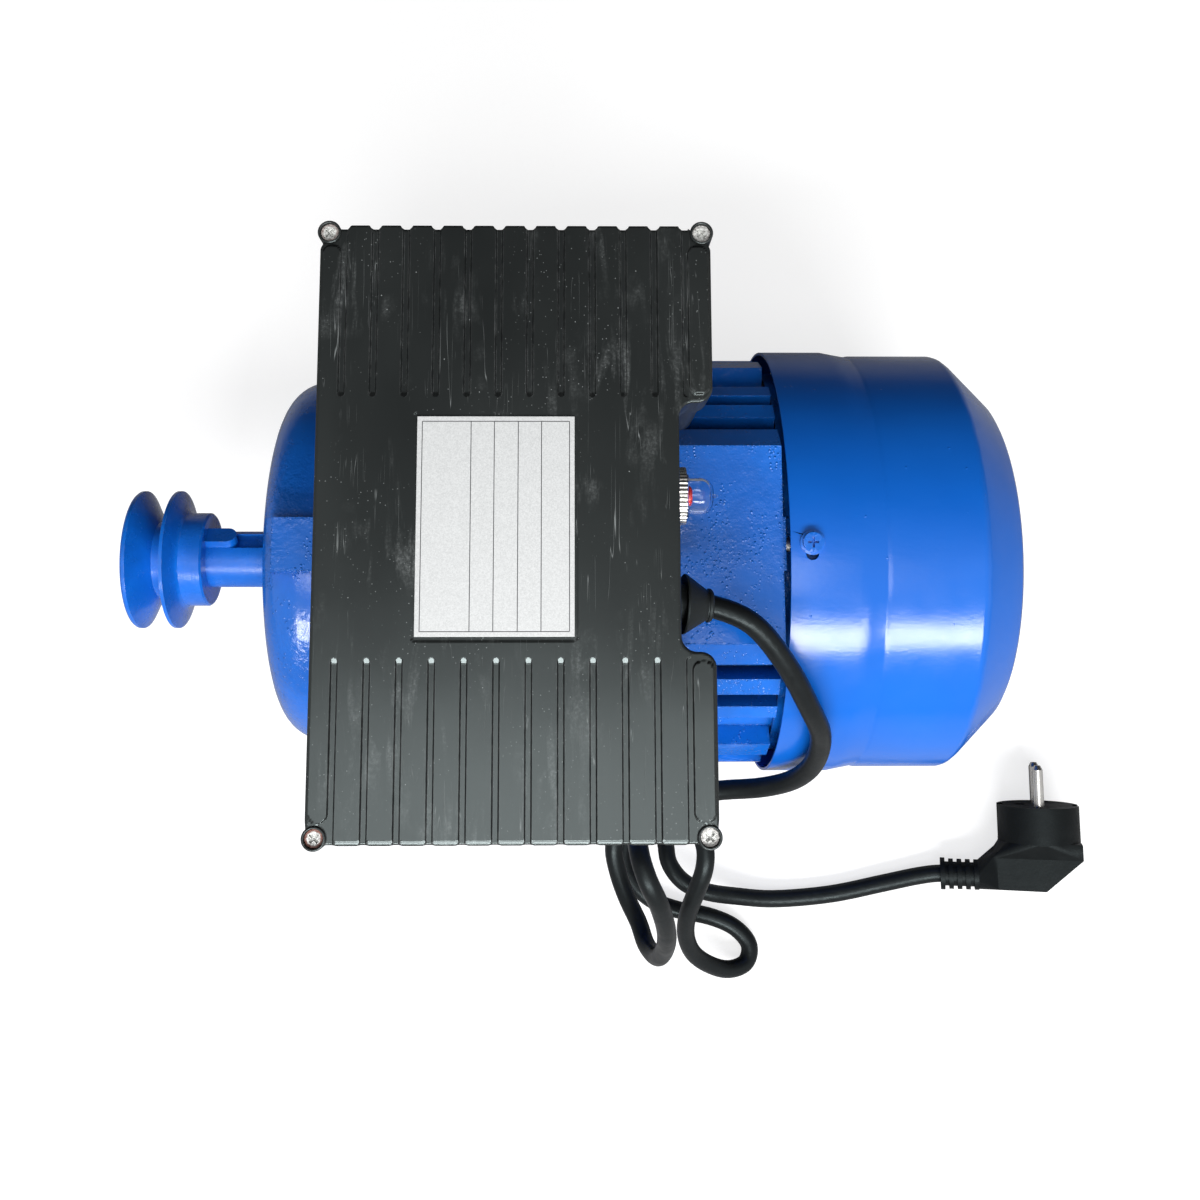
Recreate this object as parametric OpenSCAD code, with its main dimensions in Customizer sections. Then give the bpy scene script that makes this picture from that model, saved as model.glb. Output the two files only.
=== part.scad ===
// Single-phase capacitor motor, foot mounted, with belt pulley, terminal box, cord and plug.
// +Z is up and the shaft lies along X, with its drive end at -X.
// The origin is on the mounting face, in the middle of the four foot holes. The modules draw each
// piece about the shaft axis, and on_feet() lifts it by the shaft height.

/* [Mounting] */
// Height of the shaft axis over the feet
shaft_height = 90; // [90:1:100]
// Distance between foot holes across the motor
foot_hole_y = 140; // [136:1:144]
// Distance between foot holes along the motor
foot_hole_x = 125; // [110:1:130]
// Radius of each foot hole
foot_hole_r = 5; // [4:0.5:6]

/* [Frame] */
// Radius of the bore that holds the stator core
frame_bore_r = 72.5; // [72.5:0.1:73]
// Thickness of the frame wall
frame_wall = 5.5; // [5:0.5:6]
// Radius over the cooling fins
fin_r = 86; // [84:0.5:87]
// Thickness of a cooling fin
fin_t = 3.6; // [3:0.2:4.4]

/* [Shaft] */
// Radius of the drive end of the shaft
shaft_r = 12; // [12:0.1:12.2]
// Turn of the key about the shaft, measured from the top towards +Y
key_turn = 40; // [0:5:90]

/* [Pulley] */
// Radius of the pulley flanges
pulley_r = 29.5; // [27:0.5:34]
// Radius of the bottom of the belt groove
groove_r = 16.5; // [16:0.5:18]
// Radius of the pulley hub
hub_r = 20; // [19:0.5:22]

/* [Fan cover] */
// Outside radius of the open end of the cover
cowl_r = 89.5; // [89:0.5:92]
// Thickness of the cover's sheet
cowl_sheet = 1.2; // [1:0.1:1.5]

/* [Terminal box] */
// Length of the box along the shaft
box_x = 127; // [125:1:129]
// Length of the box across the shaft
box_y = 196; // [194:1:198]
// Width of the raised bands' dividing grooves
groove_w = 3; // [2:0.2:4]
// Depth of the dividing grooves
groove_d = 1; // [0.6:0.1:1.4]

/* [Cord] */
// Radius of the power cord
cord_r = 4.2; // [3.8:0.1:4.3]

/* [Hidden] */
$fn = 64;
eps = 0.02;

frame_r = frame_bore_r + frame_wall;
// Places along the shaft
pulley_x0 = -172.5;
hub_x1 = -142.6;
shaft_x0 = -171;
drive_bearing_x = -107;
rear_bearing_x = 86;
bearing_w = 15;
frame_x0 = -78;
frame_x1 = 92;
core_half = 50;
fan_x0 = 116;
cowl_x0 = 92.7;
cowl_step_x = 128.4;
cowl_rear_x = 167.2;
cowl_end_x = 186;
cowl_screw_turns = [0, 125, 235];
// Wide fins at each side, as [angle from the top, width]
wide_fins = [[38, 7.5], [46.8, 6.5], [66, 12]];
// Bearing sizes
bearing_bore_r = 12.5;
bearing_outer_r = 26;
ball_pitch_r = 19.25;
ball_r = 3.9;
race_r = 3.96;
// Rotor sizes
stator_bore_r = 37.5;
rotor_r = 37.15;
collar_bore_r = 15.05;
// Pivots of the flyweights and of the switch lever
pivot_x = 75;
pivot_r = 30.5;
lever_x = 79.5;
lever_z = -43;
// Endshield bolts
bolt_circle_r = 78;
bolt_seat_x = -88;
lug_w = 20;
lug_top = 83.9;
rib_top = 84.5;
rib_x0 = -101.5;
shoulder_r = 16;
// Terminal box levels and places
box_cx = -6.3;
box_z0 = 97;
base_z1 = 138;
lid_z0 = 140;
lid_z1 = 158;
box_wall = 2.6;
box_bay_y = 37;
box_bay_d = 11;
pad_top = 84;
pad_y = 37;
neck_x0 = -46;
neck_x1 = 34;
neck_y = 32;
box_screw_x = 60.6;
box_screw_y = 95.8;
boss_r = 3.8;
base_inset = 1;
wall_x = box_cx + box_x / 2 - box_bay_d - base_inset;
button_y = 13.8;
button_r = 3.44;
button_z = 119;
nut_r = 10;
nut_x = 6.2;
boot_r = 6.4;
gland_y = -23;
gland_z = 115;
// How far the gland's nose leans towards -Y and dips, in degrees
gland_lean = 3;
gland_dip = 7;
// Plug place. The plug leans so that its sleeve's end rests on the floor too.
plug_x = 235.4;
plug_y = -112.5;
plug_r = 18.8;
plug_z = -shaft_height + plug_r;
plug_tilt = 14.5;
sleeve_y = -33.5;
sleeve_x = -46;
cord_seat = 12;
pin_r = 2.4;
pin_length = 17;

BLUE = [0.05, 0.22, 0.66];
BLACK = [0.09, 0.09, 0.1];
STEEL = [0.72, 0.72, 0.74];

// Turns a shape made along +Z so that it lies along +X
module along_x() { rotate([0, 90, 0]) children(); }

// Lifts a piece drawn about the shaft axis to its height over the mounting face
module on_feet() { translate([0, 0, shaft_height]) children(); }

// A ring from r0 to r1 that runs from x0 to x1 along the shaft
module ring(r0, r1, x0, x1) {
    translate([x0, 0, 0]) along_x()
        difference() {
            cylinder(r = r1, h = x1 - x0, $fn = 128);
            if (r0 > 0) translate([0, 0, -1]) cylinder(r = r0, h = x1 - x0 + 2, $fn = 128);
        }
}

// A turned shape, with its outline given as [radius, place along the shaft]
module turned(outline) { along_x() rotate_extrude($fn = 128) polygon(outline); }

// A rod along the shaft direction
module rod(r, x0, x1) { translate([x0, 0, 0]) along_x() cylinder(r = r, h = x1 - x0); }

// Four places round the shaft, with the first at the top
module quarter_places(r) {
    for (a = [0:90:270]) rotate([a, 0, 0]) translate([0, 0, r]) children();
}

// ---------- frame ----------

// One fin that runs along the frame, at an angle from the top
module fin(angle, width = fin_t) {
    rotate([angle, 0, 0])
        translate([frame_x0 + 6, -width / 2, frame_r - 2])
            cube([frame_x1 - frame_x0 - 7, width, fin_r - frame_r + 2]);
}

module housing() color(BLUE)
    difference() {
        union() {
            ring(0, frame_r, frame_x0, frame_x1);
            for (side = [-1, 1], a = [82, 98, 110, 122, 134]) fin(side * a);
            for (side = [-1, 1], rib = wide_fins) fin(side * rib[0], rib[1]);
            for (a = [-22, -11, 11, 22]) fin(180 + a);
            // Flat pad on top with sloping flanks, and the neck that carries the box
            translate([frame_x0 + 8, 0, 0]) rotate([90, 0, 90])
                linear_extrude(height = frame_x1 - frame_x0 - 9)
                    polygon([[-44.5, 60], [44.5, 60], [44.5, 75.5], [pad_y, pad_top],
                        [-pad_y, pad_top], [-44.5, 75.5]]);
            translate([neck_x0, -neck_y, pad_top - 1])
                cube([neck_x1 - neck_x0, 2 * neck_y, box_z0 - pad_top + 1]);
            // Lugs for the endshield bolts
            for (x = [frame_x0, frame_x1 - 20])
                for (a = [0:90:270])
                    rotate([a, 0, 0]) translate([x, -lug_w / 2, 60]) cube([20, lug_w, lug_top - 60]);
            // Feet: a plate along each side on two webs
            for (side = [-1, 1]) {
                translate([-78, side > 0 ? 48 : -88, -shaft_height]) cube([156, 40, 11]);
                for (x = [-70, 54])
                    translate([x, side > 0 ? 48 : -62, -shaft_height + 5]) cube([16, 14, 42]);
            }
        }
        // Bore for the stator core
        translate([frame_x0 - 1, 0, 0]) along_x()
            cylinder(r = frame_bore_r, h = frame_x1 - frame_x0 + 2, $fn = 128);
        // Threads for the endshield bolts
        for (x = [frame_x0 - 1, frame_x1 - 15])
            quarter_places(bolt_circle_r) rod(3.05, x, x + 16);
        // Foot holes
        for (x = [-1, 1], y = [-1, 1])
            translate([x * foot_hole_x / 2, y * foot_hole_y / 2, -shaft_height - 1])
                cylinder(r = foot_hole_r, h = 13);
        // Passage for the winding leads, and the box screw threads
        translate([-6, 0, 60]) cylinder(r = 12, h = 50);
        for (x = [neck_x0 + 9, neck_x1 - 9], y = [-1, 1])
            translate([x, y * (neck_y - 8), box_z0 - 12]) cylinder(r = 2.05, h = 13);
    }

// Lugs of an endshield, at the given turns from the top
module shield_lugs(x0, x1, top, turns = [0:90:270]) {
    for (a = turns)
        rotate([a, 0, 0]) translate([x0, -lug_w / 2, 62]) cube([x1 - x0, lug_w, top - 62]);
}

// Outline of the drive endshield: a flat face with a round shoulder, and a spigot in the frame
drive_shield_outline = concat(
    [[13.2, -110], [32, -110], [34, -108.6], [40, -107.6], [56, -107]],
    [for (a = [90:-7.5:0]) [60.5 + shoulder_r * cos(a), -91 - shoulder_r * sin(a)]],
    [[76.5, -84.5], [81, -84], [81, frame_x0], [frame_bore_r - 0.1, frame_x0],
        [frame_bore_r - 0.1, frame_x0 + 5], [67, frame_x0 + 5], [67, -93], [62, -98],
        [40, -99], [34, -95], [34, -89], [13.2, -89]]);

module drive_endshield() color(BLUE)
    difference() {
        union() {
            turned(drive_shield_outline);
            shield_lugs(bolt_seat_x - 6, frame_x0, rib_top, [90:90:270]);
            // The top lug runs out over the shoulder as a rib with a chamfered end
            translate([0, lug_w / 2, 0]) rotate([90, 0, 0]) linear_extrude(height = lug_w)
                polygon([[rib_x0, 62], [rib_x0, rib_top - 3], [rib_x0 + 2.6, rib_top],
                    [frame_x0, rib_top], [frame_x0, 62]]);
        }
        // Bearing seat
        translate([drive_bearing_x, 0, 0]) along_x() cylinder(r = bearing_outer_r + 0.01, h = 30);
        // Room inside for the winding
        translate([-89, 0, 0]) along_x() cylinder(r = 66.9, h = 20, $fn = 128);
        // Holes and counterbores of the bolts
        quarter_places(bolt_circle_r) rod(3.3, -110, -70);
        quarter_places(bolt_circle_r) rod(5.7, -115, bolt_seat_x);
    }

module rear_endshield() color(BLUE)
    difference() {
        union() {
            turned([[20, 103.5], [20, 83.5], [31, 83.5], [34, 92], [60, frame_x1], [67, frame_x1 - 5],
                [frame_bore_r - 0.1, frame_x1 - 5], [frame_bore_r - 0.1, frame_x1],
                [80, frame_x1], [80, 99], [38, 101], [34, 103.5]]);
            shield_lugs(frame_x1, 107, 80);
            shield_lugs(96, 107, 86.8, cowl_screw_turns);
        }
        translate([rear_bearing_x, 0, 0]) along_x() cylinder(r = bearing_outer_r + 0.01, h = 30);
        translate([79, 0, 0]) along_x() cylinder(r = 22, h = 30);
        quarter_places(bolt_circle_r) rod(3.3, 90, 110);
        quarter_places(bolt_circle_r) rod(5.7, 101, 110);
        // Threads for the cover's screws
        cowl_screw_places(80) cylinder(r = 1.5, h = 10);
    }

// The places of the fan cover's screws: on top and low on both sides, clear of the mounting face
module cowl_screw_places(r) {
    for (a = cowl_screw_turns) rotate([a, 0, 0]) translate([cowl_x0 + 8, 0, r]) children();
}

// Socket-head bolt along the shaft direction, head towards -X
module axial_bolt(length) {
    difference() {
        union() {
            rod(5, -6, 0);
            rod(3, -eps, length);
        }
        translate([-7, 0, 0]) along_x() cylinder(r = 2.9, h = 4, $fn = 6);
    }
}

module endshield_bolts() color(STEEL) {
    quarter_places(bolt_circle_r) translate([bolt_seat_x, 0, 0]) axial_bolt(21);
    quarter_places(bolt_circle_r) translate([101, 0, 0]) mirror([1, 0, 0]) axial_bolt(20);
}

// ---------- stator and winding ----------

slots = 24;

module slot_shape(r0, r1, w0, w1) polygon([[r0, -w0], [r1, -w1], [r1, w1], [r0, w0]]);

module stator_core() color([0.45, 0.45, 0.47])
    translate([-core_half, 0, 0]) along_x() linear_extrude(height = 2 * core_half)
        difference() {
            circle(r = frame_bore_r - 0.02, $fn = 128);
            circle(r = stator_bore_r, $fn = 128);
            for (i = [0:slots - 1]) rotate(i * 360 / slots) {
                slot_shape(39.5, 56, 3, 4.8);
                slot_shape(stator_bore_r - 2, 40, 1.2, 1.2);
            }
        }

module stator_winding() color([0.62, 0.32, 0.13]) {
    along_x() for (side = [-1, 1])
        rotate_extrude($fn = 128) difference() {
            union() {
                translate([48, side > 0 ? 51 : -70]) square([14, 19]);
                translate([55, side * 66]) circle(r = 9, $fn = 48);
            }
            translate([40, side > 0 ? 40 : -51]) square([30, 11]);
        }
    along_x() for (i = [0:slots - 1]) rotate(i * 360 / slots)
        translate([0, 0, -core_half - 3]) linear_extrude(height = 2 * core_half + 6)
            slot_shape(48, 55.6, 3.6, 4.4);
}

// ---------- bearings ----------

module race_ring(r0, r1, x) {
    along_x() rotate_extrude($fn = 128) difference() {
        translate([r0, x]) square([r1 - r0, bearing_w]);
        translate([ball_pitch_r, x + bearing_w / 2]) circle(r = race_r, $fn = 64);
    }
}

module ball_set(x) {
    translate([x + bearing_w / 2, 0, 0]) along_x() {
        for (i = [0:8]) rotate(i * 40) translate([ball_pitch_r, 0, 0]) sphere(r = ball_r, $fn = 48);
        translate([0, 0, -4.6]) difference() {
            cylinder(r = ball_pitch_r + 1, h = 9.2, $fn = 128);
            translate([0, 0, -1]) cylinder(r = ball_pitch_r - 1, h = 12, $fn = 128);
        }
    }
}

module drive_bearing_outer() color(STEEL) race_ring(21.6, bearing_outer_r, drive_bearing_x);
module rear_bearing_outer() color(STEEL) race_ring(21.6, bearing_outer_r, rear_bearing_x);
module drive_bearing_inner() color(STEEL) race_ring(bearing_bore_r, 17, drive_bearing_x);
module rear_bearing_inner() color(STEEL) race_ring(bearing_bore_r, 17, rear_bearing_x);
module drive_ball_set() color(STEEL) ball_set(drive_bearing_x);
module rear_ball_set() color(STEEL) ball_set(rear_bearing_x);

module wave_washer() color(STEEL) ring(22.5, 25.5, 101.1, 102.3);

// ---------- rotor ----------

module shaft() color(STEEL)
    difference() {
        union() {
            rod(shaft_r, shaft_x0 + 1, -112);
            translate([shaft_x0, 0, 0]) along_x() cylinder(r1 = shaft_r - 1, r2 = shaft_r, h = 1);
            rod(bearing_bore_r - 0.02, -113, 106);
            rod(15, -92, 86);
            rod(10, 105, 149);
            translate([149, 0, 0]) along_x() cylinder(r1 = 10, r2 = 9, h = 1);
        }
        // Keyway
        rotate([-key_turn, 0, 0]) translate([-175, -4, 8]) cube([58, 8, 8]);
        // Circlip groove behind the fan
        ring(9, 12, 141.5, 143.1);
    }

module shaft_key() color(BLUE)
    rotate([-key_turn, 0, 0]) {
        translate([-170, -3.98, 8.05]) cube([36, 7.96, 6.9]);
        translate([-134, 0, 8.05]) cylinder(r = 3.98, h = 6.9);
    }

module pulley() color(BLUE)
    difference() {
        turned([[shaft_r + 0.02, pulley_x0 + 0.6], [14, pulley_x0], [26, pulley_x0 - 0.6],
            [pulley_r - 0.6, pulley_x0 - 0.6], [pulley_r, pulley_x0 + 0.2],
            [pulley_r, pulley_x0 + 1.4], [groove_r, -164.2], [groove_r, -160.6],
            [pulley_r, -157.2], [pulley_r, -155.8], [hub_r + 1.5, -153.4], [hub_r, -152],
            [hub_r, hub_x1 - 0.8], [hub_r - 0.8, hub_x1], [shaft_r + 0.02, hub_x1]]);
        rotate([-key_turn, 0, 0]) translate([-180, -4, 8]) cube([40, 8, 7.1]);
        // Set screw thread, opposite the key
        rotate([180 - key_turn, 0, 0]) translate([-147, 0, 10]) cylinder(r = 2.5, h = 14);
    }

module pulley_set_screw() color(STEEL)
    rotate([180 - key_turn, 0, 0]) translate([-147, 0, shaft_r + 0.1])
        difference() {
            cylinder(r = 2.48, h = 7);
            translate([0, 0, 4]) cylinder(r = 1.4, h = 5, $fn = 6);
        }

module shaft_seal() color(BLACK)
    turned([[shaft_r + 0.01, -116.5], [15, -116.5], [16, -113.5], [19.5, -110.3],
        [17.5, -110.3], [14.8, -113.1], [shaft_r + 0.6, -113.1], [shaft_r + 0.01, -113.2]]);

module rotor_core() color([0.4, 0.4, 0.42]) ring(15.02, rotor_r, -core_half, core_half);

module rotor_cage() color([0.78, 0.78, 0.8])
    for (side = [0, 1]) mirror([side, 0, 0]) {
        ring(24, 36.4, core_half, core_half + 9);
        for (a = [0:36:324]) rotate([a, 0, 0])
            translate([core_half + 8, -1.5, 29]) cube([5, 3, 6]);
    }

blades = 7;

module fan() color([0.12, 0.12, 0.13])
    difference() {
        union() {
            turned([[10.03, fan_x0], [19, fan_x0], [19, fan_x0 + 8], [76, fan_x0 + 12],
                [76, fan_x0 + 15], [19, fan_x0 + 12], [19, fan_x0 + 24], [10.03, fan_x0 + 24]]);
            for (i = [0:blades - 1]) rotate([i * 360 / blades, 0, 0])
                translate([fan_x0 + 9, -1.5, 17]) cube([26, 3, 60]);
        }
        // The blades' rear edges slope in towards the rim
        turned([[30, fan_x0 + 36], [80, fan_x0 + 28], [80, fan_x0 + 40], [30, fan_x0 + 40]]);
        ring(76, 90, fan_x0 - 1, fan_x0 + 40);
    }

module fan_circlip() color(STEEL)
    translate([141.6, 0, 0]) along_x() difference() {
        cylinder(r = 13, h = 1.4);
        translate([0, 0, -1]) cylinder(r = 9.02, h = 4);
        translate([0, -3, -1]) cube([20, 6, 4]);
    }

// ---------- centrifugal starting switch ----------

module governor_plate() color(STEEL)
    difference() {
        union() {
            ring(15.02, 27, 64.5, 66);
            ring(15.02, 19, 62, 66);
            // Two pairs of ears for the flyweight pivots
            for (a = [0, 180]) rotate([a, 0, 0]) {
                for (y = [-7.5, 6]) translate([64.5, y, 24]) cube([12.8, 1.5, 9]);
                translate([64.5, -7.5, 20]) cube([1.5, 15, 10]);
            }
        }
        for (a = [0, 180]) rotate([a, 0, 0])
            translate([pivot_x, -10, pivot_r]) rotate([-90, 0, 0]) cylinder(r = 1.55, h = 20);
    }

// A flyweight with its pivot pin and the arm that draws the collar back, over the shaft
module flyweight() {
    translate([66.6, -5.6, 28.6]) cube([10.4, 11.2, 3.8]);
    translate([75.6, -5.6, 18.3]) cube([2, 11.2, 11]);
    translate([pivot_x, -8.2, pivot_r]) rotate([-90, 0, 0]) cylinder(r = 1.5, h = 16.4);
}

module flyweight_upper() color([0.66, 0.6, 0.4]) flyweight();
module flyweight_lower() color([0.66, 0.6, 0.4]) rotate([180, 0, 0]) flyweight();

module governor_collar() color([0.75, 0.7, 0.6])
    turned([[collar_bore_r, 70.7], [18, 70.7], [18, 74], [22, 74], [22, 75.5], [18, 75.5],
        [18, 78.7], [collar_bore_r, 78.7]]);

module start_switch() color([0.35, 0.2, 0.12])
    difference() {
        union() {
            translate([84, -17, -47]) cube([3, 34, 12]);
            for (y = [-15, 10]) translate([77.8, y, -46]) cube([6.5, 5, 6]);
            for (y = [-13, 13]) translate([85, y, -41]) rod(2, 0, 7);
        }
        translate([lever_x, -20, lever_z]) rotate([-90, 0, 0]) cylinder(r = 1.05, h = 40);
    }

module switch_lever() color([0.8, 0.6, 0.25]) {
    translate([lever_x - 0.6, -4, lever_z]) cube([1.2, 8, 27.5]);
    translate([lever_x - 0.6, -9.8, lever_z - 1.5]) cube([1.2, 19.6, 3]);
    translate([lever_x, -14.8, lever_z]) rotate([-90, 0, 0]) cylinder(r = 1, h = 29.6);
}

// ---------- fan cover ----------

// The cover's outline, drawn in by a distance
module cowl_outline(inset) {
    r = cowl_r - inset;
    end = cowl_end_x - inset;
    polygon([[0, cowl_x0 - (inset > 0 ? 1 : 0)], [r, cowl_x0 - (inset > 0 ? 1 : 0)],
        [r, cowl_step_x - 10], [r - 1.9, cowl_step_x], [r - 1.9, cowl_step_x + 1],
        [r - 1.6, cowl_step_x + 2.5], [r - 1.6, cowl_rear_x - 2.6], [r - 2.1, cowl_rear_x - 0.8],
        [r - 3.6, cowl_rear_x + 1.2], [r - 19.4, end - 1.2], [r - 21.4, end], [0, end]]);
}

module fan_cowl() color(BLUE)
    difference() {
        along_x() rotate_extrude($fn = 128) difference() {
            cowl_outline(0);
            cowl_outline(cowl_sheet);
        }
        // Rings of slots through the rear face
        translate([cowl_end_x - 4, 0, 0]) along_x() linear_extrude(height = 6) {
            for (ring_no = [1:4]) for (i = [0:6 * ring_no - 1])
                rotate(i * 60 / ring_no) translate([13.5 * ring_no, 0]) {
                    translate([-3.5, -2.2]) square([7, 4.4]);
                    for (d = [-3.5, 3.5]) translate([d, 0]) circle(r = 2.2, $fn = 24);
                }
            circle(r = 5, $fn = 32);
        }
        // Slots for the screws, each open to one side of its screw
        cowl_screw_places(80) {
            cylinder(r = 2.3, h = 20, $fn = 32);
            translate([-2.3, -4, 0]) cube([4.6, 4, 20]);
            translate([0, -4, 0]) cylinder(r = 2.3, h = 20, $fn = 32);
        }
    }

module cowl_screws() color(BLUE)
    cowl_screw_places(0) difference() {
        union() {
            translate([0, 0, 83.4]) cylinder(r = 1.48, h = 6);
            translate([0, 0, cowl_r + 0.03]) cylinder(r = 4.6, h = 0.8);
            translate([0, 0, cowl_r + 0.5]) cylinder(r = 3.7, h = 2.1);
            translate([0, 0, 86.82]) cylinder(r = 2.2, h = cowl_r - 86.5);
        }
        for (a = [0, 90]) rotate(a)
            translate([-2, -0.4, cowl_r + 1.3]) cube([4, 0.8, 2]);
    }

// ---------- terminal box ----------

// The box outline in plan, drawn in by a distance, with a bay in the side that faces the fan
module box_plan(inset) {
    x0 = box_cx - box_x / 2 + inset;
    x1 = box_cx + box_x / 2 - inset;
    y1 = box_y / 2 - inset;
    bay_x = x1 - box_bay_d;
    r = 5;
    difference() {
        union() {
            translate([x0 + r, -y1]) square([bay_x - x0 - r, 2 * y1]);
            translate([x0, -y1 + r]) square([r + 1, 2 * (y1 - r)]);
            for (s = [-1, 1]) translate([x0 + r, s * (y1 - r)]) circle(r = r, $fn = 48);
            for (s = [-1, 1]) {
                y_in = box_bay_y + 2.5 + inset;
                translate([bay_x - 1, s > 0 ? y_in : -y1]) square([box_bay_d + 1 - r, y1 - y_in]);
                translate([bay_x - 1, s > 0 ? y_in + r : -y1 + r])
                    square([box_bay_d + 1, y1 - y_in - 2 * r]);
                for (y = [y_in + r, y1 - r]) translate([x1 - r, s * y]) circle(r = r, $fn = 48);
                // Soft inner corner of the bay
                difference() {
                    translate([bay_x - eps, s > 0 ? y_in - r : -y_in]) square([r, r]);
                    translate([bay_x + r, s * (y_in - r)]) circle(r = r, $fn = 48);
                }
            }
        }
    }
}

// Screw posts in the four corners
module box_posts(z0, z1, r) {
    for (x = [-1, 1], y = [-1, 1])
        translate([box_cx + x * box_screw_x, y * box_screw_y, z0]) cylinder(r = r, h = z1 - z0);
}

module box_base() color(BLACK)
    difference() {
        union() {
            difference() {
                translate([0, 0, box_z0 + 0.02]) linear_extrude(height = base_z1 - box_z0)
                    box_plan(base_inset);
                translate([0, 0, box_z0 + 3]) linear_extrude(height = 50)
                    box_plan(base_inset + box_wall);
            }
            box_posts(box_z0 + 0.02, base_z1, boss_r - 0.4);
        }
        box_posts(box_z0 + 12, base_z1 + 1, 1.6);
        // Hole for the leads and the mounting screws
        translate([-6, 0, box_z0 - 1]) cylinder(r = 12, h = 8);
        for (x = [neck_x0 + 9, neck_x1 - 9], y = [-1, 1])
            translate([x, y * (neck_y - 8), box_z0 - 1]) cylinder(r = 2.3, h = 8);
        // Holes in the bay's wall for the overload switch and the cord
        translate([wall_x - 10, button_y, button_z]) along_x() cylinder(r = 5.1, h = 20);
        translate([wall_x - 10, gland_y, gland_z]) along_x() cylinder(r = 7.6, h = 20);
    }

module box_gasket() color([0.16, 0.16, 0.16])
    difference() {
        translate([0, 0, base_z1 + 0.04]) linear_extrude(height = lid_z0 - base_z1 - 0.04)
            difference() {
                box_plan(1.3);
                box_plan(3.4);
            }
        box_posts(base_z1 - 1, lid_z0 + 1, 2.2);
    }

// One groove that runs from a rounded end out over the lid's edge
module lid_groove(x, side) {
    y0 = 42.3;
    translate([x, 0, lid_z1 - groove_d]) {
        translate([-groove_w / 2, side > 0 ? y0 : -y0 - 60, 0]) cube([groove_w, 60, 5]);
        translate([0, side * y0, 0]) cylinder(r = groove_w / 2, h = 5, $fn = 32);
    }
    // At the +Y end the groove goes on down the side
    if (side > 0) translate([x - groove_w / 2, box_y / 2 - 1, lid_z0 - 1]) cube([groove_w, 2, 30]);
}

module box_lid() color(BLACK)
    difference() {
        union() {
            translate([0, 0, lid_z0 + 0.04]) linear_extrude(height = lid_z1 - lid_z0 - 1.54)
                box_plan(0);
            translate([0, 0, lid_z1 - 2]) linear_extrude(height = 1.3) box_plan(0.5);
            translate([0, 0, lid_z1 - 1]) linear_extrude(height = 1) box_plan(1.2);
            box_posts(lid_z0 + 0.04, lid_z1 - 2.4, boss_r);
        }
        difference() {
            translate([0, 0, lid_z0 - 1]) linear_extrude(height = lid_z1 - lid_z0 - 1.6)
                box_plan(box_wall);
            box_posts(lid_z0 - 2, lid_z1, boss_r);
        }
        box_posts(lid_z1 - 4.4, lid_z1 + 3, 3.0);
        box_posts(lid_z0 - 1, lid_z1, 2.1);
        for (i = [0:11], side = [-1, 1]) lid_groove(-61.8 + i * 10.04, side);
        // Ledge along the -Y end
        translate([box_cx - box_x / 2 - 1, -box_y / 2 - 1, lid_z1 - groove_d])
            cube([box_x + 2, 2.3, 5]);
        // Shallow seat of the label
        translate([-38.4, -36.2, lid_z1 - 0.5]) cube([52.4, 72.4, 2]);
    }

module label_plate() color([0.85, 0.85, 0.86])
    translate([-37.2, -34.8, lid_z1 - 0.48]) cube([50, 69.6, 0.6]);

// Pan-head screw that hangs down from its head
module pan_screw(head_r, head_h, r, length) {
    difference() {
        union() {
            cylinder(r = head_r, h = head_h);
            translate([0, 0, -length]) cylinder(r = r, h = length + eps);
        }
        for (a = [45, 135]) rotate(a)
            translate([-head_r * 0.6, -0.45, head_h - 1.1]) cube([head_r * 1.2, 0.9, 2]);
    }
}

module box_screws() color(STEEL)
    for (x = [-1, 1], y = [-1, 1])
        translate([box_cx + x * box_screw_x, y * box_screw_y, lid_z1 - 4.35])
            pan_screw(2.85, 2.6, 1.58, 30);

module box_mount_screws() color(STEEL)
    for (x = [neck_x0 + 9, neck_x1 - 9], y = [-1, 1])
        translate([x, y * (neck_y - 8), box_z0 + 3.05]) pan_screw(4, 2.6, 2, 13);

module terminal_board() color([0.42, 0.22, 0.12])
    difference() {
        translate([-62, -22, box_z0 + 3.05]) cube([20, 44, 6]);
        for (y = [-15, -5, 5, 15]) translate([-52, y, box_z0]) cylinder(r = 2.1, h = 20);
    }

module terminal_studs() color([0.8, 0.65, 0.3])
    for (y = [-15, -5, 5, 15]) translate([-52, y, box_z0 + 3.1]) {
        cylinder(r = 2.05, h = 16);
        translate([0, 0, 6]) cylinder(r = 4, h = 3, $fn = 6);
    }

// A capacitor can that lies along the shaft direction
module capacitor(r, length, y) {
    translate([box_cx - length / 2, y, box_z0 + 3.6 + r]) along_x() {
        cylinder(r = r, h = length);
        translate([0, 0, length - eps]) cylinder(r = r - 3, h = 2);
        for (dx = [-6, 6]) translate([-0.4, dx - 3, length]) cube([0.8, 6, 9]);
    }
}

module run_capacitor() color([0.85, 0.85, 0.83]) capacitor(22, 92, 67);
module start_capacitor() color([0.1, 0.1, 0.12]) capacitor(20, 84, -67);

module capacitor_straps() color(STEEL)
    for (cap = [[22.05, 67, -1], [20.05, -67, 1]]) translate([box_cx - 5, cap[1], box_z0 + 3.6 + cap[0]]) {
        r = cap[0];
        difference() {
            along_x() cylinder(r = r + 0.8, h = 12);
            translate([-1, 0, 0]) along_x() cylinder(r = r, h = 14);
            translate([-1, -40, -80]) cube([14, 80, 80]);
        }
        // Legs down to the floor, and the tab on the side of the box's middle
        for (side = [-1, 1]) translate([0, side > 0 ? r : -r - 0.8, -r - 0.55]) cube([12, 0.8, r + 0.6]);
        translate([0, cap[2] > 0 ? r : -r - 6, -r - 0.55]) cube([12, 6, 0.8]);
    }

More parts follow.
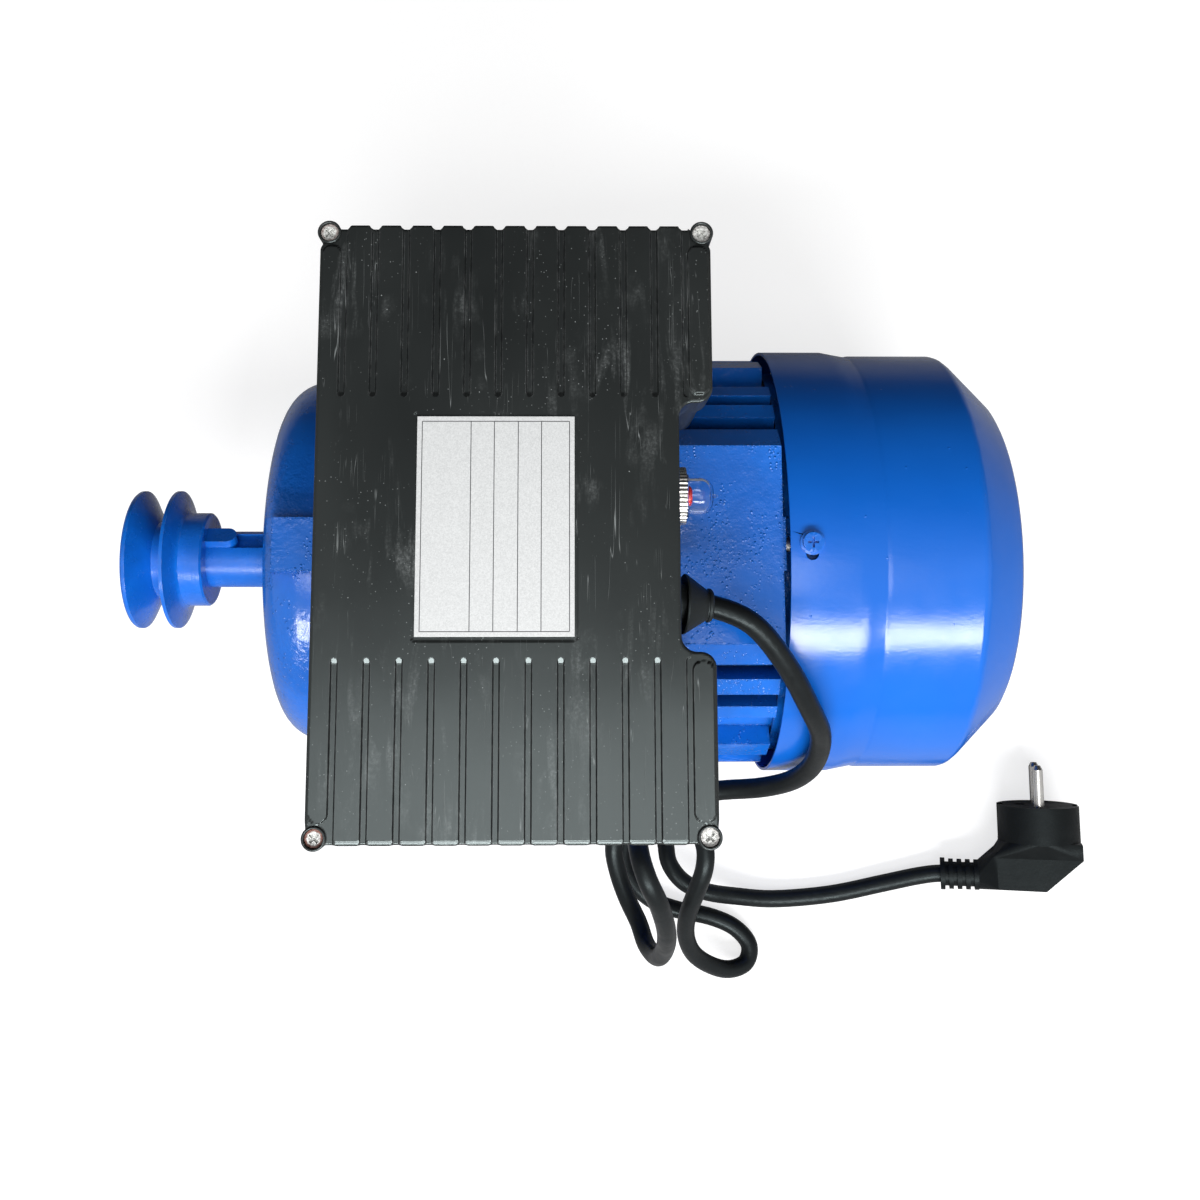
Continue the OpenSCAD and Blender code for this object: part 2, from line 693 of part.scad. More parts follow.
module overload_switch() color(BLACK)
    difference() {
        union() {
            translate([wall_x - box_wall - 22.05, button_y - 9, button_z - 8]) cube([22, 18, 16]);
            translate([wall_x - 5, button_y, button_z]) along_x() cylinder(r = 5, h = 11);
        }
        translate([wall_x - 12, button_y, button_z]) along_x() cylinder(r = button_r + 0.06, h = 20);
    }

module reset_button() color([0.8, 0.05, 0.05])
    translate([wall_x - 6, button_y, button_z]) along_x() {
        cylinder(r = button_r, h = 13.8);
        translate([0, 0, 13.8 - eps]) cylinder(r1 = button_r, r2 = button_r - 0.5, h = 0.6);
    }

module boot_nut() color(STEEL)
    translate([wall_x + 0.03, button_y, button_z]) along_x() difference() {
        union() {
            cylinder(r = 8, h = 2);
            translate([0, 0, 1.8]) cylinder(r = nut_r, h = nut_x - 1.8);
        }
        translate([0, 0, -1]) cylinder(r = 5.05, h = 10);
        // Knurl
        for (i = [0:39]) rotate(i * 9)
            translate([nut_r + 0.25, 0, 1.5]) cylinder(r = 0.5, h = 8, $fn = 6);
    }

// Half the outline of the boot's dome, drawn in by a distance
module boot_outline(inset) {
    corner = 4.4;
    intersection() {
        union() {
            square([boot_r - inset, 5.2]);
            square([boot_r - corner, 5.2 + corner - inset]);
            translate([boot_r - corner, 5.2]) circle(r = corner - inset, $fn = 64);
        }
        square([8, 12]);
    }
}

module button_boot() color([0.85, 0.88, 0.9, 0.4])
    translate([wall_x + nut_x + 0.05, button_y, button_z]) along_x() {
        rotate_extrude($fn = 64) difference() {
            union() {
                square([boot_r + 1.2, 0.9]);
                boot_outline(0);
            }
            translate([0, -eps]) boot_outline(0.85);
        }
        // Nipple on the end
        translate([0, 0, 9.4]) cylinder(r1 = 0.8, r2 = 0.5, h = 1.4, $fn = 32);
    }

module cord_gland() color([0.13, 0.13, 0.13])
    translate([wall_x, gland_y, gland_z]) difference() {
        union() {
            along_x() rotate_extrude($fn = 64)
                polygon([[0, -5], [9.5, -5], [9.5, -box_wall - 0.04], [7.5, -box_wall - 0.04],
                    [7.5, 4.6], [0, 4.6]]);
            // Tapered nose, leaning the way the cord is led
            rotate([0, gland_dip, -gland_lean]) along_x() rotate_extrude($fn = 64)
                polygon([[0, 2], [6.9, 2], [6.9, 5.3], [10.4, 5.3], [10.4, 6], [5.5, 13.4],
                    [5.5, 13.9], [5.9, 14], [5.9, 14.8], [5.4, 15.4], [0, 15.4]]);
        }
        // Bore for the cord, bent where the nose begins
        translate([-6, 0, 0]) along_x() cylinder(r = cord_r + 0.6, h = 8);
        rotate([0, gland_dip, -gland_lean]) translate([-2.5, 0, 0]) along_x()
            cylinder(r = cord_r + 0.55, h = 19);
    }

// ---------- cord and plug ----------

// A place in the plug's plane [along the sleeve, across the pins' face], turned as the plug lies
function on_plug(p) = [plug_x + p[0] * cos(plug_tilt), plug_y + p[1], plug_z + p[0] * sin(plug_tilt)];

// The cord's route, from inside the box, round the frame's side, through its loops to the plug
cord_route = [[wall_x - 6, gland_y, gland_z], [wall_x, gland_y, gland_z],
    [wall_x + 14.4, gland_y - 0.8, gland_z - 1.8], [75, -30, 111], [88, -44, 101], [99, -60, 85],
    [106, -71, 68], [107, -82.5, 48], [102, -90.5, 31], [91, -95, 18], [76, -97, 9], [62, -99, 5],
    [51, -101, 6], [43, -104, 14], [39, -110, 26], [39, -118, 37], [42, -128, 40], [47, -139, 32],
    [51, -152, 15], [52, -163, -5], [50, -171, -24], [46, -169, -38], [43, -161, -46],
    [38, -151, -50], [34, -140, -51], [32, -128, -49], [36, -117, -44], [45, -110, -38],
    [56, -110, -32], [66, -115, -27], [71, -124, -24], [71, -134, -25], [68, -145, -32],
    [65, -157, -43], [65, -168, -54], [69, -178, -64], [77, -185, -72], [87, -189, -79],
    [96, -187, -83.5], [98, -179, -85], [91, -171, -85.4], [79, -166, -85.7], [64, -163, -85.7],
    [51, -158, -85.7], [42, -149, -85.7], [38, -138, -85.7], [41, -127, -85], [50, -122, -81],
    [57, -128, -76], [59, -139, -73], [66, -148, -73.5], [77, -153, -76], [92, -156, -81],
    [111, -158, -85], [138, -156, -85.7], [163, -151, -85], [180, -147.5, -84.3],
    on_plug([sleeve_x, sleeve_y]), on_plug([sleeve_x + cord_seat, sleeve_y])];
cord_steps = 5;
cord_sides = 12;

function spline(p, i, t) =
    let (n = len(p) - 1, a = p[max(i - 1, 0)], b = p[i], c = p[min(i + 1, n)], d = p[min(i + 2, n)])
    0.5 * (2 * b + (c - a) * t + (2 * a - 5 * b + 4 * c - d) * t * t
        + (3 * b - a - 3 * c + d) * t * t * t);

cord_line = [for (i = [0:len(cord_route) - 2], k = [0:cord_steps - 1])
    spline(cord_route, i, k / cord_steps), cord_route[len(cord_route) - 1]];

function unit(v) = v / norm(v);
function heading(p, i) = unit(p[min(i + 1, len(p) - 1)] - p[max(i - 1, 0)]);
// The side vector is carried along the line, so the rings don't twist
function side_vectors(p, i = 0, v = [0, 1, 0], out = []) =
    i == len(p) ? out :
    let (h = heading(p, i), w = unit(v - (v * h) * h)) side_vectors(p, i + 1, w, concat(out, [w]));

module tube(p, r, sides) {
    side = side_vectors(p);
    rings = len(p);
    points = [for (i = [0:rings - 1], k = [0:sides - 1])
        let (a = 360 * k / sides, s = side[i], u = cross(heading(p, i), s))
        p[i] + r * (cos(a) * s + sin(a) * u)];
    walls = [for (i = [0:rings - 2], k = [0:sides - 1])
        let (m = (k + 1) % sides)
        [i * sides + k, (i + 1) * sides + k, (i + 1) * sides + m, i * sides + m]];
    first = [for (k = [0:sides - 1]) k];
    last = [for (k = [0:sides - 1]) (rings - 1) * sides + sides - 1 - k];
    polyhedron(points = points, faces = concat(walls, [first, last]), convexity = 8);
}

module power_cord() color(BLACK) tube(cord_line, cord_r, cord_sides);

// Draws in the plug's own frame: the origin is the middle of the pins' face, with the pins along +Y
module in_plug() translate([plug_x, plug_y, plug_z]) rotate([0, -plug_tilt, 0]) children();

// A rod that runs back from the pins' face
module plug_rod(r, y0, y1, z = 0, x = 0) {
    translate([x, y1, z]) rotate([90, 0, 0]) cylinder(r = r, h = y1 - y0);
}

module plug_body() color(BLACK)
    in_plug() difference() {
        union() {
            plug_rod(plug_r, -16.5, 0);
            // Shoulder that narrows from the round face to the flat back
            hull() {
                plug_rod(plug_r - 0.6, -17, -16, $fn = 48);
                translate([0, 0, -11]) linear_extrude(height = 22)
                    polygon([[-16, -17], [18.5, -17], [18.5, -24], [-22, -24]]);
            }
            // Flat back that leads to the sleeve
            hull() {
                translate([0, 0, -11]) linear_extrude(height = 22)
                    polygon([[-20, -21], [18.5, -21], [18.5, -24], [1.5, -38.6], [-20, -38.2]]);
                translate([-29, sleeve_y, 0]) along_x() cylinder(r = 6.6, h = 1, $fn = 32);
            }
            // Ribbed sleeve
            translate([sleeve_x, sleeve_y, 0]) along_x() {
                cylinder(r = 5.6, h = 26);
                for (i = [0:4]) translate([0, 0, i * 3.9]) cylinder(r = i == 0 ? 7.4 : 7, h = 2.1);
            }
        }
        // Seat of the cord's end
        translate([sleeve_x - 1, sleeve_y, 0]) along_x()
            cylinder(r = cord_r + 0.5, h = cord_seat + 2);
        // Holes for the pins
        for (z = [-9.5, 9.5]) plug_rod(1.9, -12, 1, z);
        // Slots for the earth clips, and the earth pin's hole
        for (side = [-1, 1]) translate([side * 17.4 - 1.6, -15.6, -3]) cube([3.2, 17, 6]);
        plug_rod(2.6, -15, 1, 0, -8);
    }

module plug_pins() color(STEEL)
    in_plug() for (z = [-9.5, 9.5]) {
        plug_rod(1.88, -11.9, 0.1, z);
        plug_rod(pin_r, 0, pin_length, z);
        translate([0, pin_length - eps, z]) rotate([-90, 0, 0]) cylinder(r1 = pin_r, r2 = 1.4, h = 2);
    }

module earth_clips() color([0.8, 0.65, 0.3])
    in_plug() for (side = [-1, 1]) translate([side * 17.5 - 0.5, -15.5, -2.5]) cube([1, 14.6, 5]);

on_feet() housing();
on_feet() drive_endshield();
on_feet() rear_endshield();
on_feet() endshield_bolts();
on_feet() stator_core();
on_feet() stator_winding();
on_feet() drive_bearing_outer();
on_feet() rear_bearing_outer();
on_feet() wave_washer();
on_feet() start_switch();
on_feet() fan_cowl();
on_feet() cowl_screws();
on_feet() box_base();
on_feet() box_gasket();
on_feet() box_lid();
on_feet() box_screws();
on_feet() box_mount_screws();
on_feet() label_plate();
on_feet() terminal_board();
on_feet() terminal_studs();
on_feet() run_capacitor();
on_feet() start_capacitor();
on_feet() capacitor_straps();
on_feet() overload_switch();
on_feet() boot_nut();
on_feet() button_boot();
on_feet() cord_gland();
on_feet() power_cord();
on_feet() plug_body();
on_feet() plug_pins();
on_feet() earth_clips();
on_feet() shaft();
on_feet() rotor_core();
on_feet() rotor_cage();
on_feet() drive_bearing_inner();
on_feet() rear_bearing_inner();
on_feet() fan();
on_feet() fan_circlip();
on_feet() shaft_seal();
on_feet() shaft_key();
on_feet() pulley();
on_feet() pulley_set_screw();
on_feet() governor_plate();
on_feet() governor_collar();
on_feet() flyweight_upper();
on_feet() flyweight_lower();
on_feet() switch_lever();
on_feet() drive_ball_set();
on_feet() rear_ball_set();
on_feet() reset_button();
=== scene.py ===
"""Looks of a single-phase capacitor motor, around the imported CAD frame.

Materials, edge rounding, a finer lid for the terminal box, the studio and the camera.
"""

import math

import bpy
import numpy as np
from mathutils import Matrix, Vector


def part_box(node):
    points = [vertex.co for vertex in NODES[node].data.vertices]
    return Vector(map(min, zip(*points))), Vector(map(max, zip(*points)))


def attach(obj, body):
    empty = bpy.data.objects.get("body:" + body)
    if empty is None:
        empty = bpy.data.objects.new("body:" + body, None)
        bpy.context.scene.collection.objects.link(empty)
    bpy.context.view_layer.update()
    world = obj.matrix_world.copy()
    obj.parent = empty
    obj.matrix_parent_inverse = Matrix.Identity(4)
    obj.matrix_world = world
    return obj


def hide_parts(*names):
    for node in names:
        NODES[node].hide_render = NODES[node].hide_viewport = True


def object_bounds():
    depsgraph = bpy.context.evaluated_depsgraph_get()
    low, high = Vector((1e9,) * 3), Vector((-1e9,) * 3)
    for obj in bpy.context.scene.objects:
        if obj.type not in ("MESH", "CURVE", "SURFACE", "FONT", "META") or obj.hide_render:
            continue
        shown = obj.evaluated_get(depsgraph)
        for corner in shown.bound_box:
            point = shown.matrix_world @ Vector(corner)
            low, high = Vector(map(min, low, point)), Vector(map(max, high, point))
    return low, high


MM = 0.001
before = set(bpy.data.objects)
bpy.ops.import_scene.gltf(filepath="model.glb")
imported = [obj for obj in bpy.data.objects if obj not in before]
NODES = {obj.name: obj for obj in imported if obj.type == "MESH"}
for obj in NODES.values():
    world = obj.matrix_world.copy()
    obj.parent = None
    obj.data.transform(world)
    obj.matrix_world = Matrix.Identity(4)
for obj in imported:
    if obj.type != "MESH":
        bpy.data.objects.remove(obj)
CAD_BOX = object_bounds()


# ---------------------------------------------------------------- node helper


class Shader:
    """A short way to write a material's node tree. Lengths are in metres, in the piece's own frame."""

    def __init__(self, name):
        self.material = bpy.data.materials.new(name)
        self.material.use_nodes = True
        self.tree = self.material.node_tree
        self.tree.nodes.clear()
        self.output = self.add("ShaderNodeOutputMaterial")
        self.surface = self.add("ShaderNodeBsdfPrincipled")
        self.tree.links.new(self.surface.outputs[0], self.output.inputs[0])
        self.place = self.add("ShaderNodeTexCoord").outputs["Object"]

    def add(self, kind, inputs=None, **settings):
        node = self.tree.nodes.new(kind)
        for key, value in settings.items():
            setattr(node, key, value)
        for key, value in (inputs or {}).items():
            self.feed(node.inputs[key], value)
        return node

    def feed(self, socket, value):
        if isinstance(value, bpy.types.NodeSocket):
            self.tree.links.new(value, socket)
        elif isinstance(value, (tuple, list)) and len(value) == 3 and socket.type == "RGBA":
            socket.default_value = (*value, 1)
        else:
            socket.default_value = value

    def set(self, **inputs):
        for key, value in inputs.items():
            self.feed(self.surface.inputs[key.replace("_", " ")], value)

    def stretched(self, scale, turn=(0, 0, 0)):
        """The place, scaled by a different amount along each axis."""
        inputs = {0: self.place, "Scale": scale, "Rotation": turn}
        return self.add("ShaderNodeMapping", inputs).outputs[0]

    def noise(self, scale, detail=3.0, rough=0.55, place=None, warp=0.0):
        inputs = {
            "Vector": place or self.place,
            "Scale": scale,
            "Detail": detail,
            "Roughness": rough,
            "Distortion": warp,
        }
        return self.add("ShaderNodeTexNoise", inputs).outputs["Fac"]

    def cells(self, scale, feature="F1", place=None, random=1.0):
        inputs = {"Vector": place or self.place, "Scale": scale, "Randomness": random}
        return self.add("ShaderNodeTexVoronoi", inputs, feature=feature).outputs["Distance"]

    def between(self, value, low, high, to_low=0.0, to_high=1.0):
        """Value mapped from low..high to to_low..to_high, and clamped."""
        inputs = {"Value": value, "From Min": low, "From Max": high, "To Min": to_low, "To Max": to_high}
        return self.add("ShaderNodeMapRange", inputs, clamp=True).outputs[0]

    def math(self, operation, a, b=0.0):
        return self.add("ShaderNodeMath", {0: a, 1: b}, operation=operation).outputs[0]

    def mix(self, share, a, b):
        node = self.add("ShaderNodeMix", {"Factor": share}, data_type="RGBA")
        self.feed(node.inputs[6], a)
        self.feed(node.inputs[7], b)
        return node.outputs[2]

    def axis(self, name):
        return self.add("ShaderNodeSeparateXYZ", {0: self.place}).outputs[name]

    def bumps(self, *layers):
        """Layers of (height, distance in metres), the first the deepest."""
        normal = None
        for height, distance in layers:
            inputs = {"Height": height, "Distance": distance, "Strength": 1.0}
            if normal is not None:
                inputs["Normal"] = normal
            normal = self.add("ShaderNodeBump", inputs).outputs[0]
        self.feed(self.surface.inputs["Normal"], normal)
        return normal

    def gap_shade_mask(self, reach, deep=0.2, open_sky=0.7):
        """A mask for painted shade, from ambient occlusion: 1 down in narrow gaps and 0 in the open."""
        sky = self.add("ShaderNodeAmbientOcclusion", {"Distance": reach}, samples=4).outputs["AO"]
        return self.between(sky, deep, open_sky, 1, 0)

    def edges(self, radius, low=0.01, high=0.12):
        """1 on edges and 0 on flats, from how far the rounded normal turns away."""
        rounded = self.add("ShaderNodeBevel", {"Radius": radius}, samples=4).outputs[0]
        plain = self.add("ShaderNodeNewGeometry").outputs["Normal"]
        both = {0: rounded, 1: plain}
        dot = self.add("ShaderNodeVectorMath", both, operation="DOT_PRODUCT").outputs["Value"]
        return self.between(self.math("SUBTRACT", 1.0, dot), low, high)


# ---------------------------------------------------------------- materials

# Linear colours of the blue enamel, its dirt, and the shade painted deep between fins
PAINT_DARK = (0.003, 0.102, 0.470)
PAINT_LIGHT = (0.004, 0.136, 0.600)
GRIME = (0.002, 0.016, 0.075)
GAP_SHADE = (0.001, 0.010, 0.050)


def cast_enamel(name="cast_enamel", rough=1.0):
    """Gloss enamel over a sand casting: orange peel, raised nibs, pits, and shade painted into deep
    gaps.
    """
    s = Shader(name)
    colour = s.mix(s.between(s.noise(22, 4), 0.35, 0.65), PAINT_DARK, PAINT_LIGHT)
    grime = s.math("MULTIPLY", s.between(s.noise(60, 5, 0.7), 0.5, 0.8, 0.05, 0.5), 0.4)
    # Painted shade: the colour turns dark navy in narrow gaps such as those between the fins, and the
    # gloss and coat fade there too
    painted_gap_shade = s.gap_shade_mask(14 * MM, 0.12, 0.5)
    s.set(Base_Color=s.mix(painted_gap_shade, s.mix(grime, colour, GRIME), GAP_SHADE))
    s.set(Roughness=s.between(s.noise(140, 3), 0.3, 0.7, 0.14, 0.24))
    s.set(Specular_IOR_Level=s.between(painted_gap_shade, 0, 1, 0.5, 0.12))
    s.set(Coat_Weight=s.between(painted_gap_shade, 0, 1, 0.35, 0.0), Coat_Roughness=0.06)
    patches = s.between(s.noise(30, 3), 0.42, 0.62, 0.15, 1)
    grain = s.math("MULTIPLY", s.noise(520, 3, 0.6), patches)
    nibs = s.between(s.cells(640), 0.36, 0.08, 0, 1)
    nibs = s.math("MULTIPLY", nibs, s.between(s.noise(70, 3, 0.6), 0.5, 0.6))
    pits = s.between(s.cells(260, place=s.stretched((1, 1.2, 0.9))), 0.12, 0.03, 0, -1)
    pits = s.math("MULTIPLY", pits, s.between(s.noise(45, 2), 0.5, 0.6))
    rim = s.between(s.noise(520, 3, 0.7), 0.35, 0.65)
    rim = s.math("MULTIPLY", s.edges(1.6 * MM, 0.002, 0.03), rim)
    s.bumps(
        (s.noise(45, 2, 0.4), 0.5 * MM),
        (grain, 0.2 * MM * rough),
        (nibs, 0.32 * MM),
        (pits, 0.15 * MM),
        (rim, 0.5 * MM),
    )
    return s.material


def sheet_enamel():
    """Gloss coat on smooth sheet metal, with a fine orange peel, a few long waves and nibs."""
    s = Shader("sheet_enamel")
    tone = s.between(s.noise(12, 3), 0.35, 0.65)
    s.set(Base_Color=s.mix(tone, (0.003, 0.098, 0.465), (0.004, 0.112, 0.510)))
    s.set(Roughness=s.between(s.noise(90, 3), 0.3, 0.7, 0.17, 0.24))
    peel = s.noise(620, 2, 0.5, place=s.stretched((0.6, 1.2, 1.2)))
    waves = s.noise(1.0, 2, 0.4, place=s.stretched((12, 26, 26)))
    nibs = s.between(s.cells(85), 0.045, 0.02)
    s.bumps((waves, 0.5 * MM), (peel, 0.035 * MM), (nibs, 0.12 * MM))
    return s.material


def turned_enamel():
    """Gloss paint over turned metal, with faint tool marks round the shaft axis."""
    s = Shader("turned_enamel")
    colour = s.mix(s.between(s.noise(50, 4), 0.35, 0.65), PAINT_DARK, PAINT_LIGHT)
    worn = s.math("MULTIPLY", s.edges(0.5 * MM), s.between(s.noise(300, 3), 0.5, 0.62, 0, 0.5))
    s.set(Base_Color=s.mix(worn, colour, (0.16, 0.22, 0.36)))
    s.set(Roughness=s.between(s.noise(160, 3), 0.3, 0.7, 0.2, 0.3), Coat_Weight=0.3)
    rings = s.noise(1.0, 2, 0.5, place=s.stretched((1600, 8, 8)))
    s.bumps((rings, 0.03 * MM), (s.noise(420, 2), 0.07 * MM))
    return s.material


def shaft_metal():
    """Turned steel. The paint of the motor covers its drive end."""
    s = Shader("shaft_metal")
    rings = s.noise(1.0, 3, 0.6, place=s.stretched((2600, 10, 10)))
    steel = s.mix(s.between(rings, 0.3, 0.7), (0.42, 0.43, 0.45), (0.62, 0.63, 0.65))
    painted = s.between(s.axis("X"), -0.1105, -0.1125)
    tone = s.between(s.noise(60, 4), 0.35, 0.65)
    s.set(Base_Color=s.mix(painted, steel, s.mix(tone, PAINT_DARK, PAINT_LIGHT)))
    s.set(Metallic=s.between(painted, 0, 1, 1, 0))
    s.set(Roughness=s.between(s.noise(200, 3), 0.3, 0.7, 0.24, 0.36))
    s.bumps((rings, 0.03 * MM), (s.noise(420, 2), 0.07 * MM))
    return s.material


def scratches(s, scale, turn, width, low, high):
    """Fine hairlines, each a short stretch of a long thin noise streak."""
    streak = s.noise(1.0, 2, 0.5, place=s.stretched((scale, scale * 0.03, scale), (0, 0, turn)))
    line = s.between(s.math("ABSOLUTE", s.math("SUBTRACT", streak, 0.5)), width, 0.0)
    where = s.noise(1.0, 3, 0.6, place=s.stretched((scale * 0.25, scale * 0.12, scale), (0, 0, turn)))
    return s.math("MULTIPLY", line, s.between(where, low, high))


def scuffed_plastic(name="scuffed_plastic", wear=1.0):
    """Glossy black moulding with pale streaks along Y, dust specks and hairlines. Its walls are duller.
    """
    s = Shader(name)
    bloom = s.noise(9, 4, 0.6, place=s.stretched((1, 0.6, 1)), warp=0.4)
    # Pale streaks along Y, lighter in colour and rougher than the rest of the top
    y_streak = s.noise(1.0, 5, 0.65, place=s.stretched((160, 26, 60)), warp=0.6)
    y_streak = s.math("MULTIPLY", s.between(y_streak, 0.5, 0.72), s.between(s.noise(30, 3, 0.6), 0.46, 0.66))
    mottle = s.between(s.noise(900, 3, 0.75), 0.45, 0.7)
    pale_streak = s.math("MULTIPLY", y_streak, s.math("ADD", 0.25, s.math("MULTIPLY", mottle, 0.9)))
    hair = scratches(s, 300, 0.5, 0.005, 0.58, 0.66)
    hair = s.math("MAXIMUM", hair, scratches(s, 250, 1.5, 0.005, 0.6, 0.68))
    hair = s.math("MAXIMUM", hair, scratches(s, 340, -0.7, 0.004, 0.58, 0.66))
    dust = s.between(s.cells(620), 0.13, 0.05)
    dust = s.math("MULTIPLY", dust, s.between(s.noise(38, 3), 0.44, 0.62))
    grit = s.math("MULTIPLY", s.between(s.cells(170), 0.035, 0.015), 1.6)
    marks = s.math("MAXIMUM", s.math("MULTIPLY", pale_streak, 0.5), s.math("MULTIPLY", hair, 0.5))
    marks = s.math("MAXIMUM", marks, s.math("MULTIPLY", s.math("MAXIMUM", dust, grit), 0.6))
    marks = s.math("MULTIPLY", marks, wear)
    worn = s.between(s.noise(200, 4, 0.7), 0.4, 0.62, 0, 0.35 * wear)
    rim = s.math("MULTIPLY", s.edges(0.5 * MM, 0.01, 0.1), worn)
    base = s.mix(s.between(bloom, 0.35, 0.7), (0.0085, 0.0095, 0.0095), (0.0155, 0.0170, 0.0168))
    base = s.mix(marks, base, (0.30, 0.32, 0.32))
    s.set(Base_Color=s.mix(rim, base, (0.22, 0.23, 0.23)))
    gloss = s.between(bloom, 0.3, 0.75, 0.13, 0.26)
    facing = s.add("ShaderNodeNewGeometry").outputs["True Normal"]
    upright = s.math("ABSOLUTE", s.add("ShaderNodeSeparateXYZ", {0: facing}).outputs["Z"])
    wall = s.between(upright, 0.3, 0.8, 1, 0)
    gloss = s.math("MAXIMUM", gloss, s.math("MULTIPLY", wall, 0.48))
    s.set(Roughness=s.math("MAXIMUM", gloss, s.math("MULTIPLY", marks, 0.9)))
    level = s.math("MULTIPLY", s.between(bloom, 0.35, 0.68, 0.32, 0.52), s.between(wall, 0, 1, 1, 0.4))
    s.set(Specular_IOR_Level=level, Specular_Tint=(0.86, 1.0, 1.0))
    s.bumps((s.noise(14, 2), 0.3 * MM), (s.noise(700, 2), 0.006 * MM), (hair, -0.02 * MM))
    return s.material


def rubber(name, tone, rough, grain=0.04, shine=0.3):
    """Matt black rubber with a fine grain and a little pale dust."""
    s = Shader(name)
    dust = s.between(s.noise(70, 4, 0.65), 0.5, 0.8, 0, 0.12)
    s.set(Base_Color=s.mix(dust, (tone, tone * 1.12, tone * 1.2), (0.028, 0.031, 0.033)))
    s.set(Roughness=s.between(s.noise(130, 3), 0.3, 0.7, rough - 0.06, rough + 0.08))
    s.set(Specular_IOR_Level=shine, Specular_Tint=(0.82, 0.98, 1.0))
    s.bumps((s.noise(900, 3), grain * MM), (s.noise(90, 2), 0.15 * MM))
    return s.material


def moulded(name, dark, light, rough, grain=500):
    """A plain moulded or laminated plastic."""
    s = Shader(name)
    s.set(Base_Color=s.mix(s.between(s.noise(60, 4), 0.35, 0.65), dark, light))
    s.set(Roughness=s.between(s.noise(150, 3), 0.3, 0.7, rough - 0.06, rough + 0.08))
    s.bumps((s.noise(grain, 3), 0.05 * MM))
    return s.material


def metal(name, dark, light, rough, grain=(500, 500, 500), rust=0.0):
    """Bare or plated metal, with a directional grain and an optional bloom of rust."""
    s = Shader(name)
    grain_noise = s.noise(1.0, 4, 0.6, place=s.stretched(grain))
    colour = s.mix(s.between(grain_noise, 0.3, 0.7), dark, light)
    spots = s.between(s.noise(420, 5, 0.7), 0.66 - 0.2 * rust, 0.74 - 0.1 * rust)
    spots = s.math("MULTIPLY", spots, rust)
    s.set(Base_Color=s.mix(spots, colour, (0.16, 0.055, 0.025)))
    s.set(Metallic=s.between(spots, 0, 1, 1, 0.1))
    worn = s.between(grain_noise, 0.2, 0.8, rough - 0.05, rough + 0.1)
    s.set(Roughness=s.math("MAXIMUM", worn, spots))
    s.bumps((grain_noise, 0.02 * MM), (spots, 0.04 * MM))
    return s.material


def lid_screw_zinc():
    """Worn zinc on the lid's screws. A ring of rust is heaviest at the drive end's -Y corner."""
    s = Shader("lid_screw_zinc")
    low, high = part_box("box_screws")
    radius = 2.85 * MM
    rust_from, rust_full = 1.9 * MM, 2.35 * MM
    mid, half = (low.x + high.x) / 2, (high.x - low.x) / 2 - radius
    dx = s.math("SUBTRACT", s.math("ABSOLUTE", s.math("SUBTRACT", s.axis("X"), mid)), half)
    dy = s.math("SUBTRACT", s.math("ABSOLUTE", s.axis("Y")), high.y - radius)
    away = s.math("SQRT", s.math("ADD", s.math("MULTIPLY", dx, dx), s.math("MULTIPLY", dy, dy)))
    wobble = s.math("MULTIPLY", s.math("SUBTRACT", s.noise(900, 3, 0.7), 0.5), 1.6 * MM)
    ring = s.between(s.math("ADD", away, wobble), rust_from, rust_full)
    drive_end = s.between(s.axis("X"), -0.02, -0.04)
    corner = s.math("MULTIPLY", drive_end, s.between(s.axis("Y"), 0.02, -0.02, 0.45, 1))
    rust = s.math("MULTIPLY", ring, s.math("MAXIMUM", corner, 0.12))
    flake = s.between(s.noise(1300, 4, 0.75), 0.38, 0.62)
    zinc = s.mix(flake, (0.30, 0.30, 0.29), (0.84, 0.85, 0.82))
    s.set(Base_Color=s.mix(rust, zinc, (0.20, 0.085, 0.065)))
    s.set(Metallic=s.between(rust, 0, 1, 0.4, 0.0))
    s.set(Roughness=s.between(flake, 0, 1, 0.3, 0.55))
    s.bumps((flake, 0.08 * MM))
    return s.material


def winding_wire():
    """Varnished copper wire laid round the bore."""
    s = Shader("winding_wire")
    strands = s.noise(1.0, 2, 0.5, place=s.stretched((900, 120, 120)))
    s.set(Base_Color=s.mix(s.between(strands, 0.3, 0.7), (0.20, 0.06, 0.02), (0.62, 0.26, 0.09)))
    s.set(Metallic=0.7, Roughness=0.35, Coat_Weight=0.5)
    s.bumps((strands, 0.5 * MM))
    return s.material


def laminations():
    """Edges of stacked sheet steel."""
    s = Shader("laminations")
    stack = s.noise(1.0, 1, 0.5, place=s.stretched((1900, 1, 1)))
    s.set(Base_Color=s.mix(s.between(stack, 0.35, 0.65), (0.10, 0.10, 0.105), (0.33, 0.33, 0.34)))
    s.set(Metallic=0.85, Roughness=0.42)
    s.bumps((stack, 0.08 * MM))
    return s.material


def clear_vinyl():
    """The soft clear boot over the reset button."""
    s = Shader("clear_vinyl")
    s.set(Base_Color=(0.98, 0.99, 1.0), Transmission_Weight=1.0, IOR=1.36)
    s.set(Roughness=s.between(s.noise(150, 3), 0.3, 0.7, 0.02, 0.07))
    s.bumps((s.noise(260, 3), 0.06 * MM))
    return s.material


